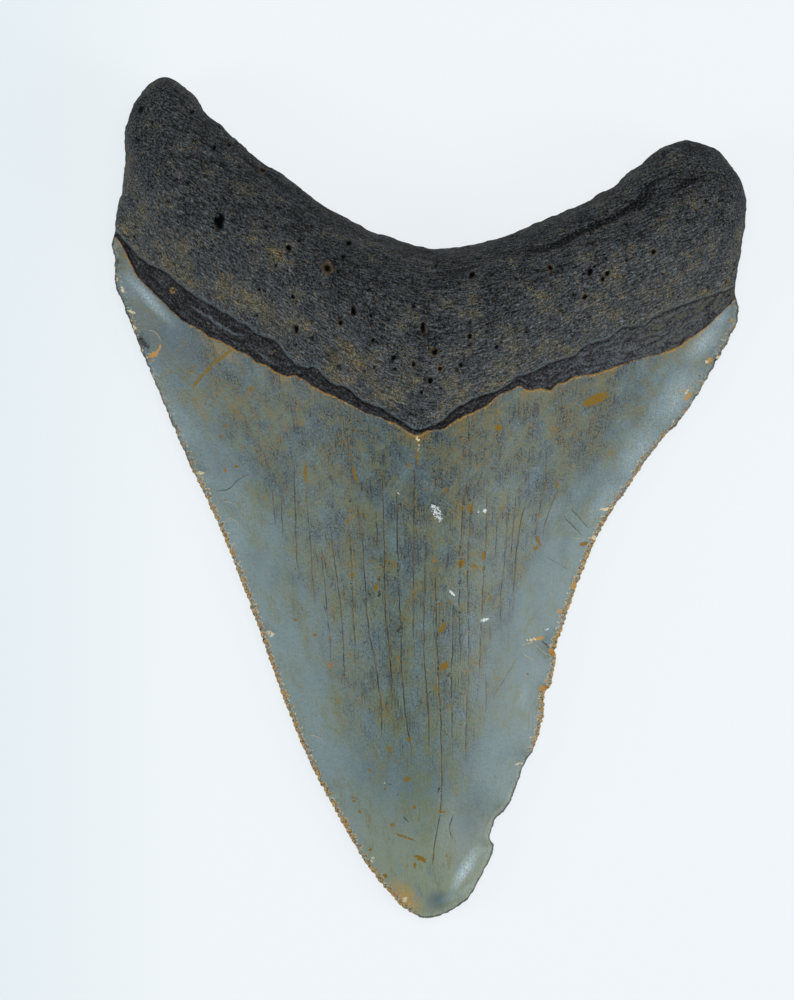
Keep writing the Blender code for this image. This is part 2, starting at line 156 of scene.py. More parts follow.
enamelLine = [
    (-44.7, 37.2), (-43.7, 36.2), (-42.9, 34.9), (-42.1, 33.3), (-41.3, 31.6), (-40.2, 30.3),
    (-38.9, 29.0), (-37.4, 27.5), (-35.9, 26.0), (-34.2, 24.7), (-32.9, 24.0), (-31.4, 23.1),
    (-30.8, 22.5), (-29.5, 22.1), (-28.2, 21.4), (-26.5, 20.5), (-25.2, 19.9), (-24.2, 19.0),
    (-22.9, 18.6), (-21.4, 17.6), (-20.1, 17.1), (-18.6, 17.1), (-17.3, 16.4), (-15.8, 15.3),
    (-14.3, 14.6), (-11.8, 13.5), (-9.1, 12.0), (-6.8, 11.2), (-4.5, 10.2), (-2.2, 8.9), (-1.3, 8.8),
    (-0.1, 9.4), (1.9, 9.6), (3.1, 10.5), (4.8, 11.4), (6.6, 12.1), (8.3, 13.1), (9.5, 14.2),
    (10.3, 14.6), (11.5, 15.1), (12.7, 15.6), (13.5, 15.1), (15.6, 15.3), (17.0, 15.1), (17.9, 15.9),
    (19.0, 16.2), (20.2, 16.9), (21.7, 17.2), (23.1, 17.3), (24.6, 17.9), (26.6, 18.5), (28.6, 19.2),
    (30.7, 19.8), (32.4, 20.2), (34.1, 20.9), (35.3, 21.4), (36.2, 22.1), (37.6, 23.0), (39.3, 24.3),
    (41.3, 26.2), (43.4, 28.3),
]
labialEnamelLine = [
    (-44.2, 34.5), (-30.0, 24.0), (-12.0, 17.5), (0.0, 16.0), (12.0, 17.5), (28.0, 22.5),
    (43.3, 28.0),
]
# How far each of those lines wanders, and over what length
lineWander = {"ledge": (0.20, 0.9), "enamel": (0.13, 0.7), "labial": (0.30, 2.0)}

# Vessel openings in the root: x, y, radius, depth, how much taller than wide, rust round them
vesselPits = [
    (-29.3, 38.5, 0.80, 1.3, 1.4, 0.0), (-40.5, 54.4, 0.42, 0.6, 1.3, 0.0),
    (-33.3, 54.0, 0.34, 0.5, 1.2, 0.0), (-30.1, 49.0, 0.38, 0.6, 1.3, 0.0),
    (-28.0, 49.4, 0.32, 0.5, 1.0, 0.3), (-23.3, 46.0, 0.42, 0.6, 1.0, 0.8),
    (-19.5, 34.8, 0.45, 0.7, 1.1, 0.0), (-18.2, 35.8, 0.32, 0.5, 1.0, 0.0),
    (-11.2, 35.5, 0.45, 0.7, 1.0, 0.2), (-14.2, 31.9, 0.62, 0.9, 1.1, 1.0),
    (-19.0, 28.0, 0.36, 0.6, 1.3, 0.0), (-23.7, 29.0, 0.34, 0.5, 1.0, 0.0),
    (-18.5, 23.6, 0.40, 0.8, 1.8, 0.4), (-10.6, 26.0, 0.45, 0.8, 1.7, 0.3),
    (-8.1, 25.3, 0.32, 0.5, 1.0, 0.0), (-12.4, 24.3, 0.36, 0.5, 1.0, 0.6),
    (-7.8, 21.9, 0.34, 0.5, 1.1, 0.2), (-13.4, 19.8, 1.00, 0.5, 1.2, 0.0),
    (-0.9, 23.6, 0.42, 0.9, 1.8, 0.3), (0.7, 20.2, 0.50, 0.8, 1.0, 0.7),
    (-5.0, 19.4, 0.45, 0.7, 1.2, 0.0), (0.9, 32.2, 0.34, 0.5, 1.2, 0.0),
    (6.0, 30.9, 0.48, 0.7, 1.0, 0.2), (5.6, 22.4, 0.38, 0.6, 1.1, 0.5),
    (4.4, 18.4, 0.42, 0.6, 1.0, 0.2), (1.4, 17.9, 0.36, 0.5, 1.0, 0.8),
    (0.1, 16.2, 0.40, 0.7, 1.3, 0.3), (-1.1, 14.6, 0.28, 0.4, 1.3, 0.0),
    (-2.2, 18.5, 0.32, 0.5, 1.3, 0.9), (-7.7, 18.2, 0.28, 0.4, 1.0, 0.2),
    (9.3, 20.9, 0.28, 0.4, 1.2, 0.0), (16.8, 32.0, 0.46, 0.7, 0.8, 0.8),
    (22.4, 31.4, 0.52, 0.8, 1.1, 0.1), (23.0, 32.2, 0.30, 0.5, 1.0, 0.0),
    (24.8, 31.2, 0.42, 0.6, 1.0, 0.1), (24.2, 30.4, 0.42, 0.6, 1.1, 0.6),
    (21.7, 28.0, 0.45, 0.7, 1.0, 0.6), (31.3, 34.3, 0.42, 0.5, 1.0, 0.8),
    (-12.0, 33.6, 0.26, 0.4, 1.0, 0.0), (-36.0, 29.1, 0.42, 0.3, 1.0, 1.0),
    (-21.8, 20.3, 0.50, 0.3, 0.8, 0.8),
]
# Grooves worn along the lobes, and folds in the band. A minus depth is a low ridge
rootFolds = [
    ([(14.1, 34.5), (17.2, 34.9), (21.7, 37.4), (26.0, 39.2), (29.3, 41.5), (30.6, 43.3),
      (33.2, 45.0)], 0.42, 0.95),
    ([(33.7, 42.4), (35.5, 43.7), (39.2, 45.4)], 0.34, 0.55),
    ([(39.6, 40.6), (41.2, 42.1)], 0.30, 0.35), ([(39.0, 38.2), (42.9, 39.2)], 0.30, 0.28),
    ([(28.9, 40.0), (30.6, 41.6), (31.5, 42.6)], 0.50, 0.60),
    ([(-27.6, 48.4), (-25.6, 47.4), (-24.2, 46.3), (-22.1, 44.8), (-20.9, 43.8), (-19.5, 43.0),
      (-17.4, 41.6)], 0.34, 0.50),
    ([(-19.0, 42.0), (-15.0, 39.7), (-12.5, 38.1), (-9.7, 36.8), (-6.2, 35.4)], 0.34, 0.25),
    ([(4.0, 33.6), (9.0, 33.4), (13.0, 34.0), (20.0, 36.6)], 0.30, 0.25),
    ([(20.0, 38.3), (24.0, 40.4), (28.0, 43.6)], 0.34, 0.25),
    ([(-34.0, 27.3), (-31.4, 25.6), (-27.8, 23.2), (-24.8, 22.6)], 0.26, -0.30),
    ([(43.0, 27.9), (38.5, 26.6), (34.4, 25.0), (30.4, 23.3), (24.9, 21.5), (20.2, 19.4)], 0.28, 0.35),
    ([(42.0, 28.6), (37.0, 26.9), (30.5, 24.0), (24.5, 22.2)], 0.22, -0.20),
    ([(-24.8, 22.3), (-23.6, 20.0), (-20.1, 17.9)], 0.24, -0.22),
]
# Broad creases that the solid has as well: start, end, half width, depth
rootCreases = [
    ((39.0, 45.2), (14.0, 33.8), 1.7, 0.80),
    ((42.0, 40.5), (31.0, 35.5), 1.4, 0.45),
    ((-27.0, 48.2), (-19.0, 42.6), 1.3, 0.45),
]
# Flakes struck off the enamel: x, y, radius, depth
edgeFlakes = [
    (-41.0, 21.5, 1.6, 0.6), (-44.2, 32.8, 1.2, 0.6), (-22.9, -19.2, 1.2, 0.35),
    (17.4, -20.9, 2.2, 0.35), (37.8, 13.7, 1.3, 0.35), (40.7, 18.7, 1.2, 0.35), (43.6, 25.4, 1.4, 0.4),
    (28.4, 0.4, 1.1, 0.3), (-32.2, 3.3, 1.1, 0.3), (23.7, -6.2, 0.9, 0.3), (16.5, -27.2, 0.9, 0.3),
    (-13.4, -41.4, 1.0, 0.25), (13.8, -37.0, 1.2, 0.35), (-4.1, -57.0, 0.8, 0.25),
    (34.2, 9.0, 0.9, 0.25), (-27.8, -8.4, 1.0, 0.25),
]

# Cracks down the crown, and how dark and how rusty each is. With a rust of 2 it is the pale border
# of a flake
crownCracks = [
    ([(-22.1, 1.7), (-21.5, -4.2)], 0.5, 0.3), ([(-20.8, 0.3), (-20.5, -5.8)], 0.6, 0.4),
    ([(-19.0, 5.5), (-18.5, -8.7), (-17.9, -11.5)], 0.9, 0.5),
    ([(-17.3, 2.0), (-16.5, -8.7), (-16.0, -16.0)], 0.7, 0.7),
    ([(-14.8, -14.5), (-14.0, -18.8), (-13.8, -23.2)], 0.8, 0.9),
    ([(-13.9, -3.5), (-12.9, -11.3), (-12.2, -17.4), (-11.8, -27.8)], 0.9, 0.6),
    ([(-15.2, -6.2), (-14.2, -17.0)], 0.5, 0.4),
    ([(-11.4, -2.4), (-10.9, -7.7), (-10.6, -17.0), (-10.1, -22.0)], 0.8, 0.7),
    ([(-9.5, -3.2), (-9.0, -11.3), (-8.6, -17.6), (-7.6, -22.7), (-6.7, -29.8),
      (-6.6, -34.0)], 0.9, 0.6),
    ([(-7.5, -1.3), (-7.2, -7.6)], 0.5, 0.6),
    ([(-6.6, 3.8), (-6.3, -6.0), (-6.1, -16.4), (-5.6, -21.0), (-5.2, -28.5)], 0.9, 0.5),
    ([(-4.6, 2.2), (-4.4, -9.5), (-4.0, -18.0), (-3.6, -27.8), (-2.3, -36.8)], 1.0, 0.4),
    ([(-1.8, 7.9), (-2.0, 3.5), (-2.2, -8.0), (-2.2, -20.5)], 1.0, 0.8),
    ([(-0.4, -3.6), (-0.7, -13.0), (-0.7, -22.0), (-0.1, -30.0), (0.0, -37.2)], 0.8, 0.5),
    ([(0.8, -8.2), (0.9, -14.2), (1.3, -25.2), (1.6, -31.0), (1.7, -43.0), (0.8, -48.4),
      (0.5, -52.0)], 1.2, 0.6),
    ([(3.4, -12.5), (3.3, -19.5), (3.1, -25.2), (3.3, -36.4)], 0.8, 0.4),
    ([(5.0, 2.0), (4.6, -2.6), (4.2, -14.0), (4.2, -20.0)], 0.9, 0.4),
    ([(5.5, 10.6), (5.5, 8.0)], 0.7, 0.5),
    ([(6.5, 1.9), (5.5, -5.1), (5.5, -18.0), (5.6, -24.8)], 0.8, 0.6),
    ([(8.1, 2.9), (7.9, -6.3), (7.4, -15.0), (7.0, -26.0)], 0.9, 0.7),
    ([(5.3, -26.6), (5.1, -36.6)], 0.6, 0.5), ([(9.6, -2.0), (9.2, -9.0)], 0.6, 0.4),
    ([(11.1, 1.7), (10.6, -8.7), (10.1, -13.0), (10.0, -18.6)], 0.8, 0.7),
    ([(12.2, 0.6), (11.9, -2.6), (11.4, -9.0)], 0.6, 0.4),
    ([(13.8, 0.6), (12.7, -4.3), (12.2, -8.5), (11.7, -16.0)], 1.0, 0.4),
    ([(16.4, 5.6), (16.3, 2.0), (15.3, -2.5), (15.0, -5.2), (15.5, -7.0)], 0.8, 0.8),
    ([(18.4, 1.8), (17.0, -1.6), (16.3, -3.6), (15.9, -5.8)], 0.6, 1.0),
    ([(8.0, -25.2), (8.0, -30.4)], 0.5, 0.5), ([(3.4, -44.5), (2.9, -46.6), (3.3, -47.9)], 0.6, 0.0),
    ([(-3.8, -44.6), (-2.6, -45.8)], 0.5, 0.0),
    ([(-30.1, 0.9), (-28.3, 1.2), (-26.9, 2.5), (-24.9, 3.5)], 0.5, 0.1),
    ([(19.9, -1.4), (22.6, -4.4)], 0.5, 0.0), ([(18.9, -2.6), (21.7, -5.5)], 0.5, 0.0),
    ([(16.4, -8.2), (19.8, -10.2)], 0.4, 0.0), ([(9.0, -28.0), (13.0, -21.6)], 0.4, 0.1),
    ([(15.7, -20.0), (16.9, -21.0), (17.8, -22.0)], 1.0, 0.7),
    ([(15.0, -20.6), (16.2, -21.8), (17.5, -22.4)], 0.8, 2.0),
    ([(12.8, -21.0), (13.4, -22.0), (14.9, -22.9)], 0.9, 2.0),
    ([(12.8, -21.0), (14.0, -20.4), (15.0, -20.3)], 0.6, 2.0),
    ([(-29.4, -2.7), (-27.6, -3.0), (-26.8, -3.6), (-26.9, -4.6)], 0.7, 2.0),
    ([(-29.0, -0.6), (-28.2, -0.5), (-27.6, -1.0)], 0.7, 2.0),
    ([(-39.6, 23.6), (-38.4, 23.2), (-37.7, 22.0)], 0.8, 2.0), ([(20.2, -5.6), (22.4, -6.0)], 0.6, 2.0),
    ([(-17.4, -33.2), (-15.6, -33.6), (-14.6, -34.4)], 0.5, 2.0),
    ([(-18.4, -31.2), (-16.6, -31.0)], 0.4, 2.0),
]

# Marks on the enamel: what it is, x, y, half length, half width, angle of its length, strength
enamelMarks = [
    ("ochre", 23.3, 13.8, 1.75, 0.58, 23, 1.5), ("ochre", 9.7, 9.8, 0.50, 0.45, 0, 1.3),
    ("ochre", 10.6, 9.8, 0.45, 0.35, 0, 0.6), ("rust", 0.8, -8.8, 0.30, 0.26, 0, 1.0),
    ("ochre", 4.7, -1.5, 0.30, 0.26, 0, 1.0), ("ochre", 5.8, -1.5, 0.9, 0.45, 80, 0.8),
    ("ochre", 4.5, -9.2, 0.9, 0.6, 60, 0.8), ("ochre", 6.4, -9.7, 0.8, 0.6, 0, 0.6),
    ("ochre", 7.7, -8.1, 0.8, 0.35, 80, 0.9), ("ochre", 7.6, -10.0, 0.5, 0.25, 90, 0.9),
    ("ochre", 1.5, -14.8, 0.9, 0.45, 10, 0.6), ("ochre", 1.7, -18.3, 0.6, 0.35, 60, 0.8),
    ("rust", -2.3, -13.2, 0.30, 0.26, 0, 0.8), ("ochre", -7.4, -12.5, 0.7, 0.28, 80, 0.9),
    ("ochre", -10.8, -6.0, 0.32, 0.28, 0, 0.9), ("ochre", -11.4, -3.1, 0.7, 0.26, 85, 0.9),
    ("ochre", -10.8, -10.8, 0.5, 0.26, 90, 0.9), ("ochre", -7.9, -8.7, 0.8, 0.5, 0, 0.5),
    ("ochre", 2.2, 1.1, 0.7, 0.35, 60, 0.7), ("rust", 5.5, -18.8, 0.30, 0.26, 0, 0.9),
    ("ochre", -0.4, 1.3, 0.6, 0.5, 0, 0.5), ("rust", -28.7, 3.9, 0.34, 0.26, 90, 1.0),
    ("ochre", -27.1, 4.4, 0.30, 0.25, 0, 0.9), ("ochre", -28.5, 10.1, 0.45, 0.4, 0, 0.6),
    ("ochre", -29.4, 8.6, 0.35, 0.3, 0, 0.8), ("ochre", -26.0, 7.1, 0.4, 0.35, 0, 0.6),
    ("ochre", -25.0, 15.3, 0.4, 0.35, 0, 0.8), ("ochre", -35.1, 18.2, 0.35, 0.3, 0, 0.5),
    ("ochre", -17.3, 3.6, 2.1, 0.26, 88, 0.8), ("ochre", -11.1, 6.0, 1.6, 0.20, 100, 0.6),
    ("ochre", -10.4, 3.2, 1.3, 0.28, 105, 0.9), ("ochre", -10.3, 9.5, 0.5, 0.35, 60, 0.7),
    ("ochre", -2.8, 4.5, 0.6, 0.4, 100, 0.7), ("ochre", -32.0, 17.0, 3.4, 0.33, 48, 0.75),
    ("ochre", -29.2, 19.6, 2.6, 0.33, 38, 0.75), ("ochre", -33.6, 17.7, 2.0, 0.24, 46, 0.6),
    ("ochre", -31.0, 19.9, 1.6, 0.22, 30, 0.5), ("ochre", -26.6, 11.8, 4.2, 0.24, -22, 0.45),
    ("ochre", -18.8, -17.1, 0.30, 0.25, 0, 1.0), ("ochre", -16.1, -19.2, 0.45, 0.35, 0, 0.6),
    ("rust", -13.9, -19.6, 0.30, 0.25, 0, 1.0), ("rust", -13.9, -23.6, 0.50, 0.42, 90, 0.9),
    ("ochre", -14.3, -24.6, 0.7, 0.35, 60, 0.4), ("ochre", 2.1, -23.5, 0.9, 0.6, 60, 0.8),
    ("ochre", 1.9, -18.2, 0.9, 0.35, 60, 0.8), ("ochre", 2.7, -29.2, 0.9, 0.5, 90, 0.5),
    ("ochre", 1.0, -26.8, 0.7, 0.45, 90, 0.7), ("ochre", -2.8, -33.8, 0.38, 0.30, 0, 1.0),
    ("ochre", -3.0, -39.4, 0.42, 0.36, 0, 0.8), ("ochre", -8.3, -38.3, 0.32, 0.28, 0, 0.7),
    ("ochre", -5.7, -35.3, 0.5, 0.4, 60, 0.7), ("ochre", -10.5, -42.35, 0.56, 0.56, 0, 0.62),
    ("ochre", -9.8, -44.1, 0.26, 0.24, 0, 0.8), ("ochre", -6.2, -40.9, 0.24, 0.22, 0, 0.9),
    ("ochre", -2.0, -43.4, 0.34, 0.28, 0, 0.8), ("ochre", -5.2, -45.9, 0.32, 0.26, 0, 0.9),
    ("ochre", -3.4, -47.6, 2.0, 0.20, -19, 0.85), ("ochre", -8.2, -49.5, 0.30, 0.26, 0, 0.9),
    ("ochre", -6.2, -53.2, 0.38, 0.34, 0, 1.0), ("ochre", -1.3, -50.6, 1.3, 0.42, -26, 0.85),
    ("ochre", -2.0, -51.6, 0.5, 0.25, 90, 0.8), ("ochre", 1.7, -44.0, 0.8, 0.25, 0, 0.7),
    ("ochre", -4.6, -36.9, 1.3, 0.18, 125, 0.6), ("ochre", -3.4, -39.6, 1.1, 0.18, 140, 0.6),
    ("ochre", 15.4, -6.1, 1.0, 0.24, 115, 0.9), ("ochre", 15.0, -7.0, 0.6, 0.4, 60, 0.8),
    ("ochre", 18.0, 1.9, 0.7, 0.25, 60, 0.8), ("rust", 15.6, -2.6, 0.5, 0.25, 80, 0.8),
    ("ochre", 8.6, -14.0, 0.7, 0.35, 85, 0.7), ("ochre", 2.9, -14.5, 0.7, 0.35, 85, 0.6),
    ("ochre", 10.3, -1.5, 0.8, 0.35, 0, 0.6), ("ochre", 13.0, 7.5, 0.6, 0.3, 90, 0.5),
    ("ochre", 20.9, 8.0, 0.8, 0.2, 70, 0.5), ("ochre", 14.6, 9.9, 0.3, 0.25, 0, 0.8),
    ("amber", 18.4, -16.0, 0.42, 0.34, 0, 1.0), ("amber", 16.2, -26.8, 0.65, 0.42, 15, 1.0),
    ("ochre", 13.9, -24.8, 0.24, 0.22, 0, 0.9), ("amber", 20.6, -12.4, 0.7, 0.5, 20, 0.9),
    ("ochre", 21.9, -6.5, 0.7, 0.36, 10, 0.9), ("ochre", 26.8, -3.4, 0.3, 0.2, 60, 0.7),
    ("amber", -38.9, 20.1, 0.9, 0.42, 20, 0.95), ("amber", -38.1, 20.9, 0.9, 0.28, 55, 0.8),
    ("amber", -38.9, 19.3, 0.5, 0.26, -10, 0.7), ("ochre", -36.4, 17.7, 0.5, 0.4, 0, 0.55),
    ("ochre", -34.4, 16.4, 0.5, 0.4, 0, 0.6), ("amber", 36.6, 14.3, 1.0, 0.40, 45, 0.85),
    ("amber", 36.1, 15.1, 0.8, 0.30, 10, 0.6), ("amber", 39.6, 19.3, 0.8, 0.38, 50, 0.8),
    ("amber", 42.7, 25.0, 0.4, 0.4, 45, 0.7), ("cream", 36.3, 14.9, 0.7, 0.26, 60, 0.62),
    ("cream", 39.2, 19.2, 0.4, 0.26, 50, 0.7), ("amber", 15.4, -19.8, 0.9, 0.30, 8, 0.85),
    ("amber", 33.2, 8.7, 0.5, 0.3, 50, 0.7), ("cream", 34.6, 10.6, 0.4, 0.25, 50, 0.6),
    ("dark", 38.2, 17.2, 0.7, 0.24, 52, 0.7), ("dark", 35.3, 12.0, 0.6, 0.22, 52, 0.6),
    ("dark", 41.2, 22.0, 0.6, 0.26, 52, 0.6), ("cream", 23.5, -5.7, 0.7, 0.36, 10, 0.8),
    ("cream", 25.0, -1.6, 1.0, 0.28, 5, 0.9), ("cream", 14.5, -19.9, 0.9, 0.30, 8, 0.62),
    ("cream", -32.3, 3.5, 0.75, 0.4, 0, 0.8), ("cream", -22.4, -19.0, 0.95, 0.60, -50, 0.62),
    # The blue mark in this flake scar is a painted shadow
    ("amber", 17.5, -21.7, 0.7, 0.4, -40, 1.0), ("blue", 15.5, -21.0, 1.7, 0.9, -25, 0.40),
    ("cream", -1.6, 8.2, 0.55, 0.30, 90, 0.66), ("cream", -1.5, 7.0, 0.8, 0.20, 85, 0.60),
    ("ochre", -1.7, 5.6, 1.4, 0.20, 88, 0.8), ("dark", -2.1, 8.3, 0.5, 0.2, 90, 0.8),
    ("cream", -42.0, 26.2, 0.7, 0.25, -20, 0.8), ("cream", -43.2, 29.3, 0.6, 0.22, -70, 0.8),
    ("cream", -41.6, 24.0, 0.5, 0.3, -60, 0.7), ("cream", -3.4, -56.5, 0.5, 0.4, 45, 0.8),
    ("cream", -8.0, -51.0, 0.6, 0.4, 60, 0.6), ("cream", -6.2, -40.0, 0.2, 0.2, 0, 0.6),
    ("cream", 13.0, -37.4, 0.9, 0.22, 10, 0.7), ("dark", -4.2, -18.4, 0.85, 0.50, 60, 1.0),
    ("dark", -7.0, -11.3, 0.5, 0.35, 80, 1.0), ("dark", -6.9, -13.4, 0.6, 0.45, 60, 1.0),
    ("dark", -4.7, -11.1, 0.35, 0.3, 0, 0.9), ("dark", -4.2, -12.2, 0.7, 0.25, 90, 0.9),
    ("dark", 1.9, -17.1, 0.7, 0.4, 60, 0.8), ("dark", 4.3, -11.8, 0.8, 0.4, 80, 0.8),
    ("dark", 4.3, -16.0, 0.5, 0.4, 90, 0.9), ("dark", 5.6, -16.0, 0.5, 0.35, 90, 0.8),
    ("dark", 4.3, -6.9, 0.5, 0.45, 0, 0.8), ("dark", 5.6, -0.3, 0.4, 0.35, 0, 0.8),
    ("dark", 3.5, -1.5, 0.5, 0.4, 0, 0.7), ("dark", 7.1, -4.6, 0.8, 0.25, 70, 0.8),
    ("dark", -11.1, -0.4, 0.45, 0.25, 60, 0.9), ("dark", -10.9, -12.0, 0.3, 0.25, 0, 0.9),
    ("dark", -4.2, -8.8, 0.4, 0.25, 90, 1.0), ("dark", 2.0, -29.5, 0.6, 0.3, 80, 0.8),
    ("dark", -9.0, -20.4, 0.5, 0.25, 90, 0.8), ("dark", 2.7, -24.8, 0.5, 0.35, 20, 1.0),
    ("dark", 1.35, -40.9, 0.55, 0.42, 10, 1.0), ("dark", -5.5, -40.1, 0.5, 0.2, -20, 0.9),
    ("dark", -4.4, -41.6, 0.35, 0.25, 60, 0.7), ("dark", -7.7, -41.2, 0.5, 0.5, 0, 0.35),
    ("dark", 3.3, -47.7, 0.3, 0.22, 100, 0.8), ("dark", 5.6, -50.9, 0.28, 0.22, 0, 0.6),
    ("dark", -4.3, -10.2, 0.5, 0.3, 90, 0.8), ("dark", -8.4, -13.5, 0.6, 0.35, 70, 0.8),
    ("dark", -18.8, -10.1, 0.7, 0.28, 80, 0.7), ("dark", -40.4, 21.9, 1.1, 0.62, -50, 1.2),
    ("dark", -39.6, 21.2, 0.6, 0.45, -40, 1.0), ("dark", -43.9, 33.4, 1.0, 0.42, 85, 1.0),
    ("dark", -42.4, 27.3, 0.45, 0.25, -60, 0.8), ("dark", -41.4, 25.2, 0.35, 0.22, -60, 0.7),
    ("dark", 42.5, 26.2, 0.9, 0.25, 30, 0.5), ("dark", 2.5, -20.0, 0.8, 0.28, 80, 0.5),
    ("white", 1.0, -1.9, 1.05, 0.85, 115, 0.60), ("white", 0.5, -1.2, 0.4, 0.3, 30, 0.8),
    ("white", 1.5, -3.0, 0.6, 0.4, 100, 0.66), ("white", 3.2, -13.3, 0.6, 0.2, 130, 1.0),
    ("white", 7.8, -1.8, 0.35, 0.28, 0, 0.9), ("white", 7.8, -17.1, 0.6, 0.3, 20, 0.8),
    ("white", -4.3, 0.6, 0.5, 0.14, 130, 0.7), ("white", 6.8, -1.9, 0.3, 0.25, 0, 0.7),
    ("white", 16.6, -18.5, 0.6, 0.2, 30, 0.6), ("white", -24.0, -19.6, 0.7, 0.4, 40, 0.5),
    ("sheen", 13.3, -27.8, 2.2, 0.8, 80, 0.3), ("sheen", 5.0, -52.4, 3.4, 0.9, 60, 1.45),
    ("sheen", 34.4, 13.6, 5.2, 2.4, 54, 0.66), ("sheen", 24.6, -1.2, 4.4, 2.0, 57, 0.36),
    ("sheen", -36.4, 12.6, 5.6, 1.5, -66, 0.24), ("sheen", -27.2, -7.0, 5.0, 1.5, -68, 0.18),
    ("sheen", 41.0, 25.2, 1.9, 1.0, 45, 0.6), ("sheen", 5.2, -55.2, 2.0, 0.5, 40, 0.5),
    ("sheen", 38.6, 21.9, 3.4, 1.4, 48, 0.80), ("sheen", -39.3, 27.8, 4.6, 0.8, -47, 1.0),
    ("sheen", 30.0, 7.2, 5.2, 2.4, 54, 0.62), ("sheen", 2.6, -56.4, 1.8, 0.5, 20, 0.35),
    # Blue marks: a blue spot at the tip, a darker patch by the left shoulder, and painted shade low on
    # the right of the tip
    ("blue", 1.3, -56.6, 1.6, 1.5, 0, 1.7), ("blue", -37.0, 22.6, 7.5, 4.2, -50, 1.25),
    ("blue", 5.6, -46.0, 5.6, 2.8, 80, 1.15), ("warm", -3.4, -56.0, 3.0, 1.5, -42, 2.2),
    ("warm", -29.0, 20.4, 3.0, 0.8, -32, 0.7), ("warm", -20.1, 16.6, 0.9, 0.5, -20, 0.6),
]
# Which channel of which attribute each kind of mark is written to, how far out it reaches and how
# steeply it fades there
markAttributes = ("stainMarks", "shadeMarks", "tintMarks")
crisp = (1.50, 0.95)
soft = (1.25, 0.5)
markKinds = {
    "ochre": ("stainMarks", 0, *crisp),
    "rust": ("stainMarks", 1, *crisp),
    "cream": ("stainMarks", 2, *crisp),
    "dark": ("shadeMarks", 0, 1.45, 0.62),
    "white": ("shadeMarks", 1, *crisp),
    "blue": ("shadeMarks", 2, *soft),
    "warm": ("tintMarks", 0, *soft),
    "sheen": ("tintMarks", 1, *soft),
    "amber": ("tintMarks", 2, *crisp),
}

# Spacing of the mesh. A ring is a row of points inside the rim: distance in, spacing along
meshing = {
    "curveSteps": 12,
    "fieldSpacing": 0.5,
    "marginPower": 6,
    "crownPower": 3.2,
    "cuttingStep": 0.14,  # six to a serration
    "marginStep": 0.42,
    "brokenStep": 0.22,
    "edgeRings": [(0.17, 0.14), (0.36, 0.21), (0.60, 0.21), (0.88, 0.28), (1.25, 0.42)],
    "marginRings": [(inset, 0.42) for inset in (0.03, 0.09, 0.20, 0.36, 0.58, 0.86, 1.2, 1.6)],
    "labialEdgeRings": [(0.17, 0.14), (0.40, 0.28), (0.80, 0.42)],
    "labialMarginRings": [(inset, 0.5) for inset in (0.03, 0.12, 0.30, 0.60, 1.0)],
    "lineStep": 0.34,
    "lineRows": (-0.28, -0.13, 0.0, 0.13, 0.28),
    "crackStep": 0.42,
    "crackHalfWidth": 0.105,
    "crackWander": 0.10,
    "crownSpacing": 0.44,
    "rootSpacing": 0.285,
    "labialSpacing": 0.66,
    "gridGap": 0.72,
    "tiny": 1e-6,
}


def easeStep(low, high, value):
    share = np.clip((value - low) / (high - low), 0.0, 1.0)
    return share * share * (3.0 - 2.0 * share)


def quarterRound(distance, radius):
    # 0 at the margin to 1 at the radius, as a quarter circle rises
    return np.sqrt(1.0 - (1.0 - np.clip(distance / radius, 0.0, 1.0)) ** 2)


def lengthsOf(vectors):
    return np.sqrt((vectors ** 2).sum(axis=-1))


def smoothCurve(points, closed=False):
    # One list of curve points for each span between two given points
    knots = [Vector(point) for point in points]
    count = len(knots)

    def knot(index):
        return knots[index % count] if closed else knots[min(max(index, 0), count - 1)]

    spans = []
    for i in range(count if closed else count - 1):
        start, end = knot(i), knot(i + 1)
        reach = (end - start).length / 3.0
        leaving = (end - knot(i - 1)).normalized() * reach
        arriving = (knot(i + 2) - start).normalized() * reach
        steps = meshing["curveSteps"] + 1
        spans.append(interpolate_bezier(start, start + leaving, end - arriving, end, steps))
    return spans


def pathOf(spans):
    return np.array([point[:] for span in spans for point in span])


def spacedAlong(spans, spacing):
    line = pathOf(spans)
    run = np.concatenate([[0.0], np.cumsum(lengthsOf(np.diff(line, axis=0)))])
    marks = np.linspace(0.0, run[-1], max(2, round(run[-1] / spacing)) + 1)
    return np.column_stack([np.interp(marks, run, line[:, axis]) for axis in (0, 1)])


def outwardOf(points):
    along = np.gradient(points, axis=0)
    along /= lengthsOf(along)[:, None]
    return np.column_stack([-along[:, 1], along[:, 0]])


def treeOf(points):
    tree = kdtree.KDTree(len(points))
    for index, (x, y) in enumerate(points):
        tree.insert((x, y, 0.0), index)
    tree.balance()
    return tree


def nearestOf(tree, points):
    # Index of the nearest point in the tree, and how far away it is
    found = [tree.find((x, y, 0.0)) for x, y in points]
    return np.array([hit[1] for hit in found]), np.array([hit[2] for hit in found])


def outlineSpans():
    spans = smoothCurve([point for stretch in stretches.values() for point in stretch], closed=True)
    grouped = {}
    first = 0
    for name, points in stretches.items():
        grouped[name] = spans[first:first + len(points)]
        first += len(points)
    return grouped


